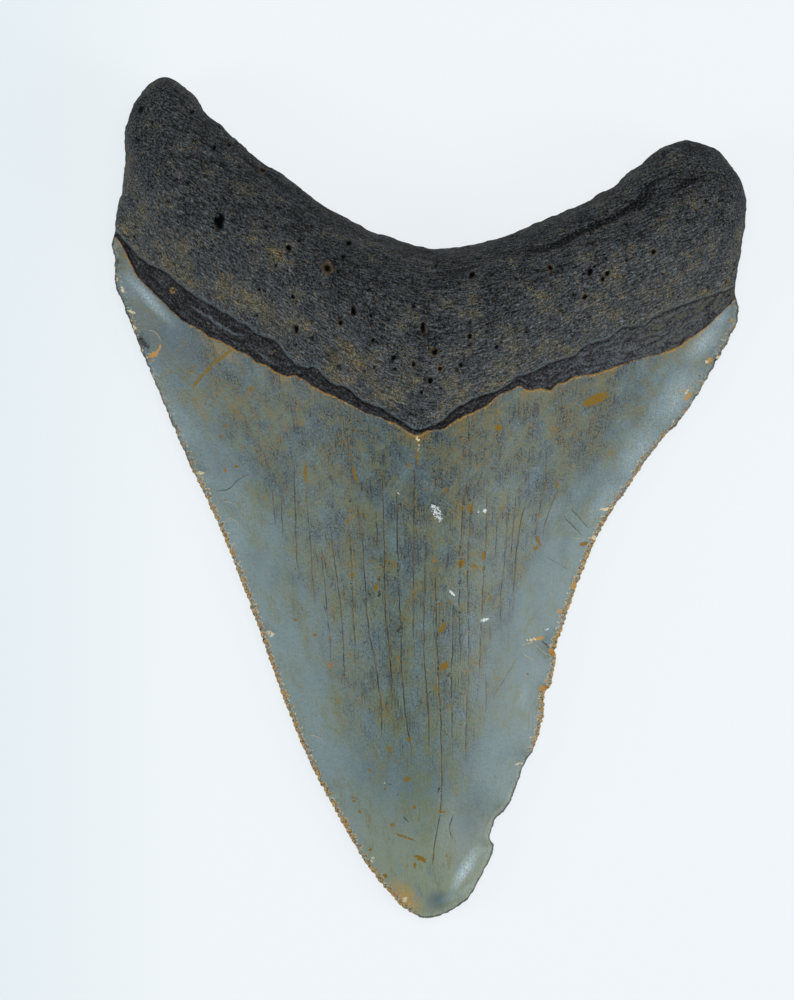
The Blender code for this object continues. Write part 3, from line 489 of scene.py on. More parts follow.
class CrossLine:
    # A line across the tooth, with the wander of the real one
    def __init__(self, points, kind):
        amount, length = lineWander[kind]
        path = pathOf(smoothCurve(points))
        self.x = np.arange(path[0, 0], path[-1, 0], 0.1)
        smooth = np.interp(self.x, path[:, 0], path[:, 1])
        row = float(len(kind))
        wander = [noise.fractal(Vector((x / length, row, 0.5)), 0.8, 2.1, 3) for x in self.x]
        self.y = smooth + amount * np.array(wander)
        slope = np.gradient(smooth, self.x)
        self.square = 1.0 / np.sqrt(1.0 + np.convolve(slope, np.ones(31) / 31.0, mode="same") ** 2)

    def above(self, points):
        # Distance past the line, square to it
        gap = points[:, 1] - np.interp(points[:, 0], self.x, self.y)
        return gap * np.interp(points[:, 0], self.x, self.square)

    def rows(self, loopTree):
        spans = [[Vector(pair) for pair in zip(self.x, self.y)]]
        points = spacedAlong(spans, meshing["lineStep"])
        away = outwardOf(points)
        rows = np.concatenate([points + away * offset for offset in meshing["lineRows"]])
        return rows[nearestOf(loopTree, rows)[1] > 0.3]


def rootThicknessAt(points):
    across = (points[:, 0] - form["swellingCentre"][0]) / form["swellingReach"][0]
    along = (points[:, 1] - form["swellingCentre"][1]) / form["swellingReach"][1]
    swell = form["rootThickness"] - form["lobeThickness"]
    return form["lobeThickness"] + swell * np.exp(-(across ** 2 + along ** 2))


class EdgeField:
    # A smooth distance from an edge, with the height of that edge carried in across the tooth.
    # Close to the edge it hands over to the plain distance
    def __init__(self, edge, heights, power):
        self.edge = edge
        self.heights = heights
        self.power = power
        self.straight = math.pi ** 0.5 * math.gamma((power - 1) / 2) / math.gamma(power / 2)

    def at(self, points, plainDistance):
        distance = np.empty(len(points))
        height = np.empty(len(points))
        chunk = 4000
        for first in range(0, len(points), chunk):
            part = slice(first, first + chunk)
            gaps = ((points[part, None, :] - self.edge[None, :, :]) ** 2).sum(axis=-1)
            weights = np.maximum(gaps, meshing["tiny"]) ** (-0.5 * self.power)
            total = weights.sum(axis=1)
            distance[part] = (self.straight / meshing["fieldSpacing"] / total) ** (1.0 / (self.power - 1))
            height[part] = (weights @ self.heights) / total
        far = easeStep(0.6, 1.6, plainDistance)
        return far * distance + (1.0 - far) * plainDistance, height


class Outline:
    # The tooth's outline, with everything that is measured from it
    def __init__(self):
        self.spans = outlineSpans()
        spacing = meshing["fieldSpacing"]
        coarse = {name: spacedAlong(found, spacing)[:-1] for name, found in self.spans.items()}
        loop = np.concatenate(list(coarse.values()))
        isRoot = self.onRoot(coarse)
        heights = np.where(isRoot, form["marginShare"] * rootThicknessAt(loop), form["edgeHeight"])
        reach = round(form["rimBlend"] / spacing)
        window = np.hanning(2 * reach + 1)
        around = np.concatenate([heights[-reach:], heights, heights[:reach]])
        heights = np.convolve(around, window / window.sum(), mode="valid")
        self.whole = EdgeField(loop, heights, meshing["marginPower"])
        self.cutting = EdgeField(loop[~isRoot], heights[~isRoot], meshing["crownPower"])

        spacing = meshing["cuttingStep"]
        fine = {name: spacedAlong(found, spacing)[:-1] for name, found in self.spans.items()}
        self.points = np.concatenate(list(fine.values()))
        self.outward = outwardOf(self.points)
        self.isCrown = ~self.onRoot(fine)
        steps = lengthsOf(np.diff(self.points, axis=0, prepend=self.points[-1:]))
        self.run = np.cumsum(steps)
        length = serrations["unevenLength"]
        stray = [noise.fractal(Vector((at / length, 0.0, 3.0)), 0.7, 2.0, 2) for at in self.run]
        self.run = self.run + serrations["uneven"] * np.array(stray)
        self.serrated = np.concatenate([self.wearOf(name, points) for name, points in fine.items()])
        self.tree = treeOf(self.points)
        self.crownIndices = np.flatnonzero(self.isCrown)
        self.crownTree = treeOf(self.points[self.isCrown])

    def onRoot(self, stretchPoints):
        flags = [np.full(len(points), name == "root") for name, points in stretchPoints.items()]
        return np.concatenate(flags)

    def wearOf(self, name, points):
        # How much is left of the serrations: none on the root and the broken edge
        if name not in ("right", "left"):
            return np.zeros(len(points))
        run = np.arange(len(points)) * meshing["cuttingStep"]
        fade = easeStep(0.0, serrations["fade"], np.minimum(run, run[-1] - run))
        row = float(name == "left")
        wear = np.array([noise.noise(Vector((at / serrations["wearLength"], row, 0.0))) for at in run])
        chips = np.array([noise.noise(Vector((at / serrations["chipLength"], row, 5.0))) for at in run])
        fade *= 1.0 - serrations["smoothShare"] * easeStep(*serrations["smoothAbove"], points[:, 1])
        fade *= np.interp(wear, (-0.5, 0.5), serrations["wearRange"])
        return fade * np.clip(1.0 + serrations["chipShare"] * chips, 0.3, 1.5)

    def measure(self, points):
        # Distances to the whole outline and to the cutting edges, and the place along those
        found = {}
        index, _ = nearestOf(self.tree, points)
        found["margin"] = self.squareDistance(points, index)[0]
        index = self.crownIndices[nearestOf(self.crownTree, points)[0]]
        found["edge"], along = self.squareDistance(points, index)
        found["run"] = self.run[index] + along
        found["outward"] = self.outward[index]
        found["serrated"] = self.serrated[index]
        return found

    def squareDistance(self, points, index):
        offset = points - self.points[index]
        normal = self.outward[index]
        along = offset[:, 0] * normal[:, 1] - offset[:, 1] * normal[:, 0]
        along = np.clip(along, -0.5 * meshing["cuttingStep"], 0.5 * meshing["cuttingStep"])
        tangent = np.column_stack([normal[:, 1], -normal[:, 0]])
        return lengthsOf(offset - tangent * along[:, None]), along


def unevenness(points):
    return 1.0 + 0.45 * np.array([noise.noise(Vector((x, y, 2.0)) * 1.5) for x, y in points])


def hollowDepth(points, places):
    depth = np.zeros(len(points))
    uneven = unevenness(points)
    for x, y, radius, deepest, *more in places:
        tall = more[0] if more else 1.0
        share = lengthsOf((points - (x, y)) / (radius, radius * tall)) * uneven
        depth += deepest * np.clip(1.0 - share ** 2, 0.0, 1.0) ** 1.5
    return depth


def creaseDepth(points):
    depth = np.zeros(len(points))
    for start, end, halfWidth, deepest in rootCreases:
        axis = np.subtract(end, start)
        share = np.clip(((points - start) @ axis) / (axis @ axis), 0.0, 1.0)
        away = lengthsOf(points - start - share[:, None] * axis) / halfWidth
        depth += deepest * np.exp(-away ** 2) * np.sqrt(np.sin(math.pi * share))
    return depth


def foldDepth(points):
    depth = np.zeros(len(points))
    for line, halfWidth, deepest in rootFolds:
        path = spacedAlong(smoothCurve(line), 0.2)
        wander = [0.16 * noise.noise(Vector((x, y, 0.0)) * 0.9) for x, y in path]
        path += outwardOf(path) * np.array(wander)[:, None]
        low, high = path.min(axis=0) - 2.0, path.max(axis=0) + 2.0
        near = np.flatnonzero(((points > low) & (points < high)).all(axis=1))
        index, away = nearestOf(treeOf(path), points[near])
        ends = np.sin(math.pi * np.clip(index / (len(path) - 1.0), 0.02, 0.98)) ** 0.5
        depth[near] += deepest * np.exp(-(away / halfWidth) ** 2) * ends
    return depth


def foldShadeAt(points):
    # 1 at the bottom of a groove and -1 on top of a ridge
    return np.clip(foldDepth(points) / 0.35, -1.0, 1.0)


def foldRows():
    rows = []
    for line, halfWidth, _ in rootFolds:
        path = spacedAlong(smoothCurve(line), 0.3)
        away = outwardOf(path) * halfWidth
        rows.extend(path + away * share for share in (-1.6, -0.8, 0.0, 0.8, 1.6))
    return np.concatenate(rows)


def lumpsAt(points):
    size = form["lumpSize"]
    places = [Vector((x, y, 0.0)) / size for x, y in points]
    return form["lumpHeight"] * np.array([noise.fractal(at, 0.8, 2.0, 3) for at in places])


def pastStep(gap):
    return easeStep(-form["stepHalfWidth"], form["stepHalfWidth"], gap)


def lingualHeight(points, outline, lines, found):
    # The upper face: crown, band and root
    half = form["edgeHalfThickness"]
    margin, marginHeight = outline.whole.at(points, found["margin"])
    inward, edgeHeight = outline.cutting.at(points, found["edge"])
    marginHeight += half
    edgeHeight += half
    flank = form["flankDepth"] * (1.0 - np.exp(-inward / form["flankReach"]))
    crown = edgeHeight + form["crownRise"] * inward ** form["crownBulge"] - flank
    crown = np.maximum(crown - hollowDepth(points, edgeFlakes), edgeHeight - form["leastEdge"])
    enamel, ledge = lines["enamel"].above(points), lines["ledge"].above(points)
    band = crown - form["bandDepth"] * pastStep(enamel)

    swelling = easeStep(0.0, form["rootBlend"], ledge)
    full = (1.0 - swelling) * (crown + form["ledgeStep"])
    full += swelling * (rootThicknessAt(points) + lumpsAt(points))
    root = marginHeight + (full - marginHeight) * quarterRound(margin, form["marginRoundTop"])
    worn = quarterRound(margin, form["marginRoundUnder"])
    root -= (hollowDepth(points, vesselPits) + creaseDepth(points)) * worn
    isRoot = pastStep(ledge)
    height = (1.0 - isRoot) * band + isRoot * root
    return height - foldDepth(points) * worn


def labialHeight(points, outline, lines, found):
    # The under face
    half = form["edgeHalfThickness"]
    margin, marginHeight = outline.whole.at(points, found["margin"])
    inward, edgeHeight = outline.cutting.at(points, found["edge"])
    marginHeight -= half
    edgeHeight -= half
    tip = leftCuttingEdge[0][1]
    past = (form["tipLiftStart"] - points[:, 1]) / (form["tipLiftStart"] - tip)
    lift = form["tipLift"] * np.clip(past, 0.0, 1.0) ** 2
    crown = lift + (edgeHeight - lift) * np.exp(-inward / form["labialReach"])

    across = (points[:, 0] - form["swellingCentre"][0]) / form["archHalfWidth"]
    root = form["archLift"] * np.exp(-across ** 2)
    root += marginHeight * (1.0 - quarterRound(margin, form["marginRoundUnder"]))
    gap = lines["labial"].above(points)
    swelling = easeStep(0.0, form["rootBlend"], gap)
    full = (1.0 - swelling) * (crown + form["labialStep"]) + swelling * root
    isRoot = pastStep(gap)
    height = (1.0 - isRoot) * crown + isRoot * np.minimum(full, marginHeight)
    return np.maximum(height - form["restDepth"] * np.minimum(margin, 1.0), 0.0)


def ringRows(outline, rings, names):
    rows = []
    for offset, spacing in rings:
        for name in names:
            points = spacedAlong(outline.spans[name], spacing)
            moved = points - outwardOf(points) * offset
            rows.append(moved[nearestOf(outline.tree, moved)[1] > 0.9 * offset - 0.005])
    return np.concatenate(rows)


def crackRows():
    # Three rows along each crack, the middle one at its bottom. Returns points, depth and rust
    half, rows = meshing["crackHalfWidth"], []
    for order, (line, strength, rust) in enumerate(crownCracks):
        path = spacedAlong(smoothCurve(line), meshing["crackStep"])
        away = outwardOf(path)
        run = np.arange(len(path))
        wander = [noise.fractal(Vector((at * 0.22, order * 3.7, 0.0)), 0.6, 2.0, 2) for at in run]
        path += away * (meshing["crackWander"] * np.array(wander))[:, None]
        ends = np.minimum(run, run[-1] - run) / max(2.0, 0.2 * run[-1])
        patchy = [0.72 + 0.7 * noise.noise(Vector((at * 0.35, order * 5.1, 9.0))) for at in run]
        depth = strength * np.clip(ends, 0.0, 1.0) ** 0.6 * np.clip(patchy, 0.15, 1.2)
        mottle = [rust + 1.5 * noise.noise(Vector((at * 0.3, order * 2.3, 4.0))) for at in run]
        tone = np.full(len(path), rust) if rust > 1.0 else np.clip(mottle, 0.0, 1.0)
        middle = np.column_stack([path, depth, tone])
        rows.append(middle)
        for side in (-half, half):
            rows.append(np.column_stack([path + away * side, np.zeros((len(path), 2))]))
    return np.concatenate(rows)


def rosettes(places, shares, step):
    # Rings of points round each place, so that a small mark or pit gets a crisp border
    rows = []
    for x, y, halfLength, halfWidth, angle in places:
        turn = math.radians(angle)
        rows.append(np.array([(x, y)]))
        for share in shares:
            around = 2.0 * math.pi * share * math.sqrt(0.5 * (halfLength ** 2 + halfWidth ** 2))
            count = max(7, round(around / step))
            phase = 2.0 * math.pi * np.arange(count) / count
            along, across = share * halfLength * np.cos(phase), share * halfWidth * np.sin(phase)
            rows.append(np.column_stack([
                x + along * math.cos(turn) - across * math.sin(turn),
                y + along * math.sin(turn) + across * math.cos(turn),
            ]))
    return np.concatenate(rows)


def hexGrid(spacing, low, high):
    rows = []
    for index, y in enumerate(np.arange(low[1], high[1], spacing * math.sin(math.radians(60.0)))):
        x = np.arange(low[0] + 0.5 * spacing * (index % 2), high[0], spacing)
        rows.append(np.column_stack([x, np.full(len(x), y)]))
    return np.concatenate(rows)


class FacePlan:
    # The plan of one face: rows of points, each kept off those already there, then triangles
    def __init__(self, rim):
        self.rim = rim
        self.points = rim
        self.extra = np.zeros((len(rim), 2))

    def place(self, points, gap, extra=None):
        kept = np.flatnonzero(nearestOf(treeOf(self.points), points)[1] > gap)
        self.points = np.concatenate([self.points, points[kept]])
        more = np.zeros((len(points), 2)) if extra is None else extra
        self.extra = np.concatenate([self.extra, more[kept]])

    def triangulate(self):
        inside = list(range(len(self.rim)))[::-1]
        flat = [Vector(point) for point in self.points]
        found = delaunay_2d_cdt(flat, [], [inside], 0, meshing["tiny"], True)
        triangles, sources, faces = found[2], found[3], found[5]
        kept = np.array([corners for corners, within in zip(triangles, faces) if within])
        oldIndex = np.array([source[0] if source else 0 for source in sources])
        return oldIndex[kept]


def lingualPlan(rim, outline, lines):
    plan = FacePlan(rim)
    crownNames = ("right", "broken", "left")
    plan.place(ringRows(outline, meshing["edgeRings"], crownNames), 0.05)
    plan.place(ringRows(outline, meshing["marginRings"], ("root",)), 0.02)
    cracks = crackRows()
    plan.place(cracks[:, :2], 0.05, cracks[:, 2:])
    crossing = [lines[name].rows(outline.tree) for name in ("ledge", "enamel")]
    plan.place(np.concatenate(crossing), 0.08)
    plan.place(foldRows(), 0.12)
    pits = [(x, y, radius, radius * tall, 0) for x, y, radius, _, tall, _ in vesselPits]
    plan.place(rosettes(pits, (0.45, 0.8, 1.1), 0.22), 0.09)
    marks = [mark[1:6] for mark in enamelMarks if mark[4] < 0.7]
    plan.place(rosettes(marks, (0.55, 0.95, 1.25), 0.26), 0.10)
    low, high = rim.min(axis=0), rim.max(axis=0)
    for spacing, wanted in ((meshing["rootSpacing"], 1.0), (meshing["crownSpacing"], -1.0)):
        grid = hexGrid(spacing, low, high)
        grid = grid[lines["enamel"].above(grid) * wanted > -0.3]
        plan.place(grid, meshing["gridGap"] * spacing)
    return plan


def labialPlan(rim, outline, lines):
    plan = FacePlan(rim)
    plan.place(ringRows(outline, meshing["labialEdgeRings"], ("right", "broken", "left")), 0.05)
    plan.place(ringRows(outline, meshing["labialMarginRings"], ("root",)), 0.02)
    plan.place(lines["labial"].rows(outline.tree), 0.08)
    grid = hexGrid(meshing["labialSpacing"], rim.min(axis=0), rim.max(axis=0))
    plan.place(grid, meshing["gridGap"] * meshing["labialSpacing"])
    return plan


def markValues(points):
    # The listed marks, as three attributes of three channels each
    values = {name: np.zeros((len(points), 3)) for name in markAttributes}
    for kind, x, y, halfLength, halfWidth, angle, strength in enamelMarks:
        name, channel, reach, fade = markKinds[kind]
        turn = math.radians(angle)
        offset = points - (x, y)
        along = (offset[:, 0] * math.cos(turn) + offset[:, 1] * math.sin(turn)) / halfLength
        across = (offset[:, 1] * math.cos(turn) - offset[:, 0] * math.sin(turn)) / halfWidth
        share = np.sqrt(along ** 2 + across ** 2)
        value = strength * np.clip((reach - share) * fade, 0.0, 1.0)
        values[name][:, channel] = np.maximum(values[name][:, channel], value)
    return values


def stainAlongEdge(points):
    # How orange the serrations are, by the place along each side
    sides = []
    for side in ("left", "right"):
        places, amounts = zip(*serrations["stain"][side])
        sides.append(np.interp(points[:, 1], places, amounts))
    return np.where(points[:, 0] < 0.0, sides[0], sides[1])


def pitValues(points):
    # How deep in a vessel opening each point is, and the rust round it
    depth, rust = np.zeros(len(points)), np.zeros(len(points))
    uneven = unevenness(points)
    for x, y, radius, _, tall, rusty in vesselPits:
        share = lengthsOf((points - (x, y)) / (radius, radius * tall)) * uneven
        soft = 0.35 if radius > 0.9 else 1.0
        depth = np.maximum(depth, soft * easeStep(0.95, 0.68, share))
        rust = np.maximum(rust, rusty * easeStep(1.7, 0.9, share))
    return depth, rust


def wallAround(count):
    # Triangles from the high rim to the middle one and on to the low one
    ring = np.arange(count)
    after = (ring + 1) % count
    wall = []
    for high, low in ((0, count), (count, 2 * count)):
        wall.append(np.column_stack([ring + high, after + high, after + low]))
        wall.append(np.column_stack([ring + high, after + low, ring + low]))
    return wall


def meshFrom(coordinates, faces, attributes):
    mesh = bpy.data.meshes.new("fossilTooth")
    mesh.vertices.add(len(coordinates))
    mesh.vertices.foreach_set("co", coordinates.astype(np.float32).ravel())
    mesh.loops.add(faces.size)
    mesh.loops.foreach_set("vertex_index", faces.astype(np.int32).ravel())
    mesh.polygons.add(len(faces))
    mesh.polygons.foreach_set("loop_start", np.arange(0, faces.size, 3, dtype=np.int32))
    mesh.update(calc_edges=True)
    mesh.validate()
    for name, values in attributes.items():
        kind, key = ("FLOAT_VECTOR", "vector") if values.ndim == 2 else ("FLOAT", "value")
        made = mesh.attributes.new(name, kind, "POINT")
        made.data.foreach_set(key, values.astype(np.float32).ravel())
    mesh.shade_smooth()
    print("base mesh has", len(mesh.vertices), "points and", len(mesh.polygons), "triangles")
    return mesh


def buildBase():
    # The smooth form as one closed mesh, with the attributes that the node trees and the finish read
    outline = Outline()
    lines = {
        name: CrossLine(points, name)
        for name, points in (("ledge", rootLedge), ("enamel", enamelLine), ("labial", labialEnamelLine))
    }
    steps = {"root": "marginStep", "broken": "brokenStep", "right": "cuttingStep", "left": "cuttingStep"}
    rows = [spacedAlong(outline.spans[name], meshing[steps[name]])[:-1] for name in stretches]
    rim = np.concatenate(rows)
    count = len(rim)
    plans = lingualPlan(rim, outline, lines), labialPlan(rim, outline, lines)
    print("plan laid out,", len(plans[0].points), "points above and", len(plans[1].points), "below")

    corners, used, points, found, heights = [], [], [], [], []
    for plan, heightOf in zip(plans, (lingualHeight, labialHeight)):
        corners.append(plan.triangulate())
        used.append(np.unique(corners[-1]))
        points.append(plan.points[used[-1]])
        found.append(outline.measure(points[-1]))
        heights.append(heightOf(points[-1], outline, lines, found[-1]))
    above, below = points
    least = heights[1][:count] + 2.0 * form["edgeHalfThickness"]
    heights[0][:count] = np.maximum(heights[0][:count], least)
    print("heights worked out")

    # Points in order: high rim, middle rim, low rim, then the rest of each face
    def gather(fromUpper, fromUnder):
        rims = [fromUpper[:count], fromUpper[:count], fromUnder[:count]]
        return np.concatenate(rims + [fromUpper[count:], fromUnder[count:]])

    coordinates = np.column_stack([gather(above, below), gather(*heights)])
    middle = slice(count, 2 * count)
    coordinates[middle, :2] += form["rimSwell"] * outline.outward[nearestOf(outline.tree, rim)[0]]
    coordinates[middle, 2] = 0.5 * (heights[0][:count] + heights[1][:count])
    faces = []
    start = 3 * count
    for plan, rimStart, side in zip(plans, (0, 2 * count), (0, 1)):
        number = np.zeros(len(plan.points), int)
        rest = len(used[side]) - count
        number[used[side]] = np.concatenate([rimStart + np.arange(count), start + np.arange(rest)])
        faces.append(number[corners[side]])
        start += rest
    faces = np.concatenate([faces[0], faces[1][:, ::-1]] + wallAround(count))

    keys = {"edgeDistance": "edge", "edgeRun": "run", "serrated": "serrated", "marginDistance": "margin"}
    attributes = {name: gather(found[0][key], found[1][key]) for name, key in keys.items()}
    outward = gather(found[0]["outward"], found[1]["outward"])
    attributes["edgeOutward"] = np.column_stack([outward, np.zeros(len(outward))])
    labial = lines["labial"].above(below)
    attributes["enamelDistance"] = gather(lines["enamel"].above(above), labial)
    attributes["ledgeDistance"] = gather(lines["ledge"].above(above), labial)
    attributes["labialSide"] = gather(np.zeros(len(above)), np.ones(len(below)))
    attributes["edgeStain"] = gather(stainAlongEdge(above), stainAlongEdge(below))
    extra = plans[0].extra[used[0]]
    pitDepth, pitRust = pitValues(above)
    for name, values in (
        ("crackDepth", extra[:, 0]), ("crackRust", extra[:, 1]), ("foldShade", foldShadeAt(above)),
        ("pitDepth", pitDepth), ("pitRust", pitRust), *markValues(above).items(),
    ):
        attributes[name] = gather(values, np.zeros((len(below), *values.shape[1:])))
    coordinates[:, 2] -= form["crackSink"] * attributes["crackDepth"]
    return meshFrom(coordinates * mm, faces, attributes)


class Wire:
    # An output of a node tree. Each sign between a wire and a wire or a number adds a math node
    def __init__(self, tree, socket):
        self.tree = tree
        self.socket = socket

    def __add__(self, other):
        return calc("ADD", self, other)

    def __sub__(self, other):
        return calc("SUBTRACT", self, other)

    def __mul__(self, other):
        return calc("MULTIPLY", self, other)

    def __truediv__(self, other):
        return calc("DIVIDE", self, other)

    def __rtruediv__(self, other):
        return calc("DIVIDE", other, self)

    def __pow__(self, other):
        return calc("POWER", self, other)

    def __abs__(self):
        return calc("ABSOLUTE", self)


def treeBehind(*values):
    return next(value.tree for value in values if isinstance(value, Wire))


def plug(value, tree, socket):
    if isinstance(value, Wire):
        tree.links.new(value.socket, socket)
    else:
        socket.default_value = value


def addNode(tree, kind, inputs=None, **settings):
    made = tree.nodes.new(kind)
    for name, value in settings.items():
        setattr(made, name, value)
    for name, value in (inputs or {}).items():
        plug(value, tree, made.inputs[name])
    return made


def wireFrom(tree, kind, inputs=None, output=0, **settings):
    return Wire(tree, addNode(tree, kind, inputs, **settings).outputs[output])


def calc(operation, *values):
    return wireFrom(treeBehind(*values), "ShaderNodeMath", dict(enumerate(values)), operation=operation)


def vectorCalc(operation, first, second):
    # A scale factor has an input of its own
    inputs = {0: first, "Scale" if operation == "SCALE" else 1: second}
    return wireFrom(first.tree, "ShaderNodeVectorMath", inputs, operation=operation)


def partsOf(vector):
    node = addNode(vector.tree, "ShaderNodeSeparateXYZ", {0: vector})
    return [Wire(vector.tree, socket) for socket in node.outputs]


def vectorOf(*values):
    return wireFrom(treeBehind(*values), "ShaderNodeCombineXYZ", dict(enumerate(values)))


def inMillimetres(place):
    return vectorCalc("DIVIDE", place, (mm, mm, mm))


def easeBetween(value, low, high, start=0.0, end=1.0):
    inputs = {"Value": value, "From Min": low, "From Max": high, "To Min": start, "To Max": end}
    return wireFrom(value.tree, "ShaderNodeMapRange", inputs, interpolation_type="SMOOTHSTEP")


def noiseAt(place, scale=1.0, detail=2.0, roughness=0.5, distortion=0.0):
    inputs = {"Vector": place, "Scale": scale, "Detail": detail}
    inputs.update({"Roughness": roughness, "Distortion": distortion})
    return wireFrom(place.tree, "ShaderNodeTexNoise", inputs)


def noiseSized(place, sizes, detail=2.0, roughness=0.5, distortion=0.0, shift=None):
    # Noise with spots of these sizes in millimetres, moved by the shift to look for other ones
    place = vectorCalc("DIVIDE", place, sizes)
    if shift:
        place = vectorCalc("ADD", place, shift)
    return noiseAt(place, 1.0, detail, roughness, distortion)


def mixed(dataType, sockets, factor, first, second):
    tree = treeBehind(factor, first, second)
    made = addNode(tree, "ShaderNodeMix", data_type=dataType, clamp_factor=True)
    for index, value in zip(sockets, (factor, first, second)):
        plug((*value, 1.0) if isinstance(value, tuple) else value, tree, made.inputs[index])
    return made.outputs, tree


def mixColour(factor, first, second):
    outputs, tree = mixed("RGBA", (0, 6, 7), factor, first, second)
    return Wire(tree, outputs[2])


def mixValue(factor, first, second):
    outputs, tree = mixed("FLOAT", (0, 2, 3), factor, first, second)
    return Wire(tree, outputs[0])


socketKinds = {
    "colour": "NodeSocketColor", "vector": "NodeSocketVector", "value": "NodeSocketFloat",
    "int": "NodeSocketInt", "geometry": "NodeSocketGeometry", "material": "NodeSocketMaterial",
}


def newTree(name, treeKind, inputs, outputs):
    # Returns the tree, a wire for each input by its name, and a call that feeds an output
    tree = bpy.data.node_groups.new(name, treeKind)
    for label, kind in inputs.items():
        tree.interface.new_socket(label, in_out="INPUT", socket_type=socketKinds[kind])
    for label, kind in outputs.items():
        tree.interface.new_socket(label, in_out="OUTPUT", socket_type=socketKinds[kind])
    sources = tree.nodes.new("NodeGroupInput").outputs
    targets = tree.nodes.new("NodeGroupOutput").inputs
    return tree, {label: Wire(tree, sources[label]) for label in inputs}, targets


def named(tree, name, dataType="FLOAT"):
    kind = "GeometryNodeInputNamedAttribute"
    return wireFrom(tree, kind, {"Name": name}, "Attribute", data_type=dataType)


def fibreFlow(place):
    # The root's fibres follow the arch between the lobes: across stays x, along becomes the height
    # above a curve that falls from the left lobe to the middle and climbs to the right one
    x, y, z = partsOf(place)
    rounded = calc("SQRT", x * x + 64.0)
    return vectorOf(x, y - (rounded * 0.52 + x * -0.10), z)


def moveAndPaint(geometry, offset, material, output):
    tree = geometry.tree
    moved = wireFrom(tree, "GeometryNodeSetPosition", {"Geometry": geometry, "Offset": offset})
    real = wireFrom(tree, "GeometryNodeRealizeInstances", {"Geometry": moved})
    painted = wireFrom(tree, "GeometryNodeSetMaterial", {"Geometry": real, "Material": material})
    plug(painted, tree, output)


def serrationTree():
    # Beads along the cutting edges, with furrows between them on both faces
    tree, given, out = newTree("serratedEdges", "GeometryNodeTree", {
        "Geometry": "geometry", "Pitch": "value", "Depth": "value", "Reach": "value",
        "Furrow": "value", "Wear": "value", "Material": "material",
    }, {"Geometry": "geometry"})
    wave = calc("COSINE", named(tree, "edgeRun") / given["Pitch"] * fullTurn)
    near = easeBetween(named(tree, "edgeDistance") / given["Reach"], 1.0, 0.0)
    fade = near * named(tree, "serrated")
    place = inMillimetres(wireFrom(tree, "GeometryNodeInputPosition"))
    worn = (noiseAt(place, 0.85, 3.0, 0.6) - 0.62) * given["Wear"] * near
    worn = worn * easeBetween(named(tree, "enamelDistance"), 0.5, -1.5)
    bead = wave * -0.5 * given["Depth"] * fade + worn
    sideways = vectorCalc("SCALE", named(tree, "edgeOutward", "FLOAT_VECTOR"), bead * mm)
    dip = (wave * 0.5 + 0.5) ** 1.6 * -mm * given["Furrow"]
    sink = vectorCalc("SCALE", wireFrom(tree, "GeometryNodeInputNormal"), dip * fade)
    offset = vectorCalc("ADD", sideways, sink)
    moveAndPaint(given["Geometry"], offset, given["Material"], out["Geometry"])
    return tree


def rootReliefTree():
    # The fibrous, pored surface of the root, raised and sunk along the normals
    tree, given, out = newTree("rootRelief", "GeometryNodeTree", {
        "Geometry": "geometry", "Fibre Depth": "value", "Fibre Length": "value", "Fibre Width": "value",
        "Lump Depth": "value", "Lump Size": "value", "Margin Bumps": "value", "Pore Spacing": "value",
        "Pore Radius": "value", "Pore Depth": "value", "Seed": "int", "Material": "material",
    }, {"Geometry": "geometry"})
    place = inMillimetres(wireFrom(tree, "GeometryNodeInputPosition"))
    ledge, margin = named(tree, "ledgeDistance"), named(tree, "marginDistance")
    isRoot = easeBetween(ledge, 0.0, 1.2) * mixValue(named(tree, "labialSide"), 1.0, 0.45)

    sizes = vectorOf(given["Fibre Length"], given["Fibre Width"], given["Fibre Width"])
    fibres = noiseSized(fibreFlow(place), sizes, 3.0, 0.6, 0.3)
    lumps = noiseSized(place, given["Lump Size"], 3.0, 0.6)
    bumps = noiseSized(place, (3.1, 3.1, 3.1), 3.0, 0.55)
    bumps = (bumps - 0.58) * easeBetween(margin, 2.2, 0.0)
    raised = (fibres - 0.5) * given["Fibre Depth"] + (lumps - 0.5) * given["Lump Depth"]
    raised = bumps * given["Margin Bumps"] + raised

    scatter = addNode(tree, "GeometryNodeDistributePointsOnFaces", distribute_method="POISSON")
    for label, value in (
        ("Mesh", given["Geometry"]), ("Selection", calc("GREATER_THAN", ledge, 1.0)),
        ("Distance Min", given["Pore Spacing"] * mm), ("Density Max", 400000.0), ("Seed", given["Seed"]),
    ):
        plug(value, tree, scatter.inputs[label])
    inputs = {0: Wire(tree, scatter.outputs["Points"])}
    away = wireFrom(tree, "GeometryNodeProximity", inputs, "Distance", target_element="POINTS")
    gap = away / (given["Pore Radius"] * mm) + (noiseAt(place, 0.55, 2.0) - 0.5) * 2.2
    pore = easeBetween(gap, 1.1, 0.2) * isRoot
    raised = raised - pore * given["Pore Depth"]

    offset = vectorCalc("SCALE", wireFrom(tree, "GeometryNodeInputNormal"), raised * isRoot * mm)
    stored = given["Geometry"]
    relief = raised / (given["Fibre Depth"] + given["Lump Depth"])
    kind = "GeometryNodeStoreNamedAttribute"
    for label, value in (("poreDepth", pore), ("reliefHeight", relief)):
        inputs = {"Geometry": stored, "Name": label, "Value": value}
        stored = wireFrom(tree, kind, inputs, data_type="FLOAT", domain="POINT")
    moveAndPaint(stored, offset, given["Material"], out["Geometry"])
    return tree


def addNodesModifier(obj, tree, values):
    modifier = obj.modifiers.new(tree.name, "NODES")
    modifier.node_group = tree
    sockets = {item.name: item.identifier for item in tree.interface.items_tree if item.in_out == "INPUT"}
    for label, value in values.items():
        modifier[sockets[label]] = value


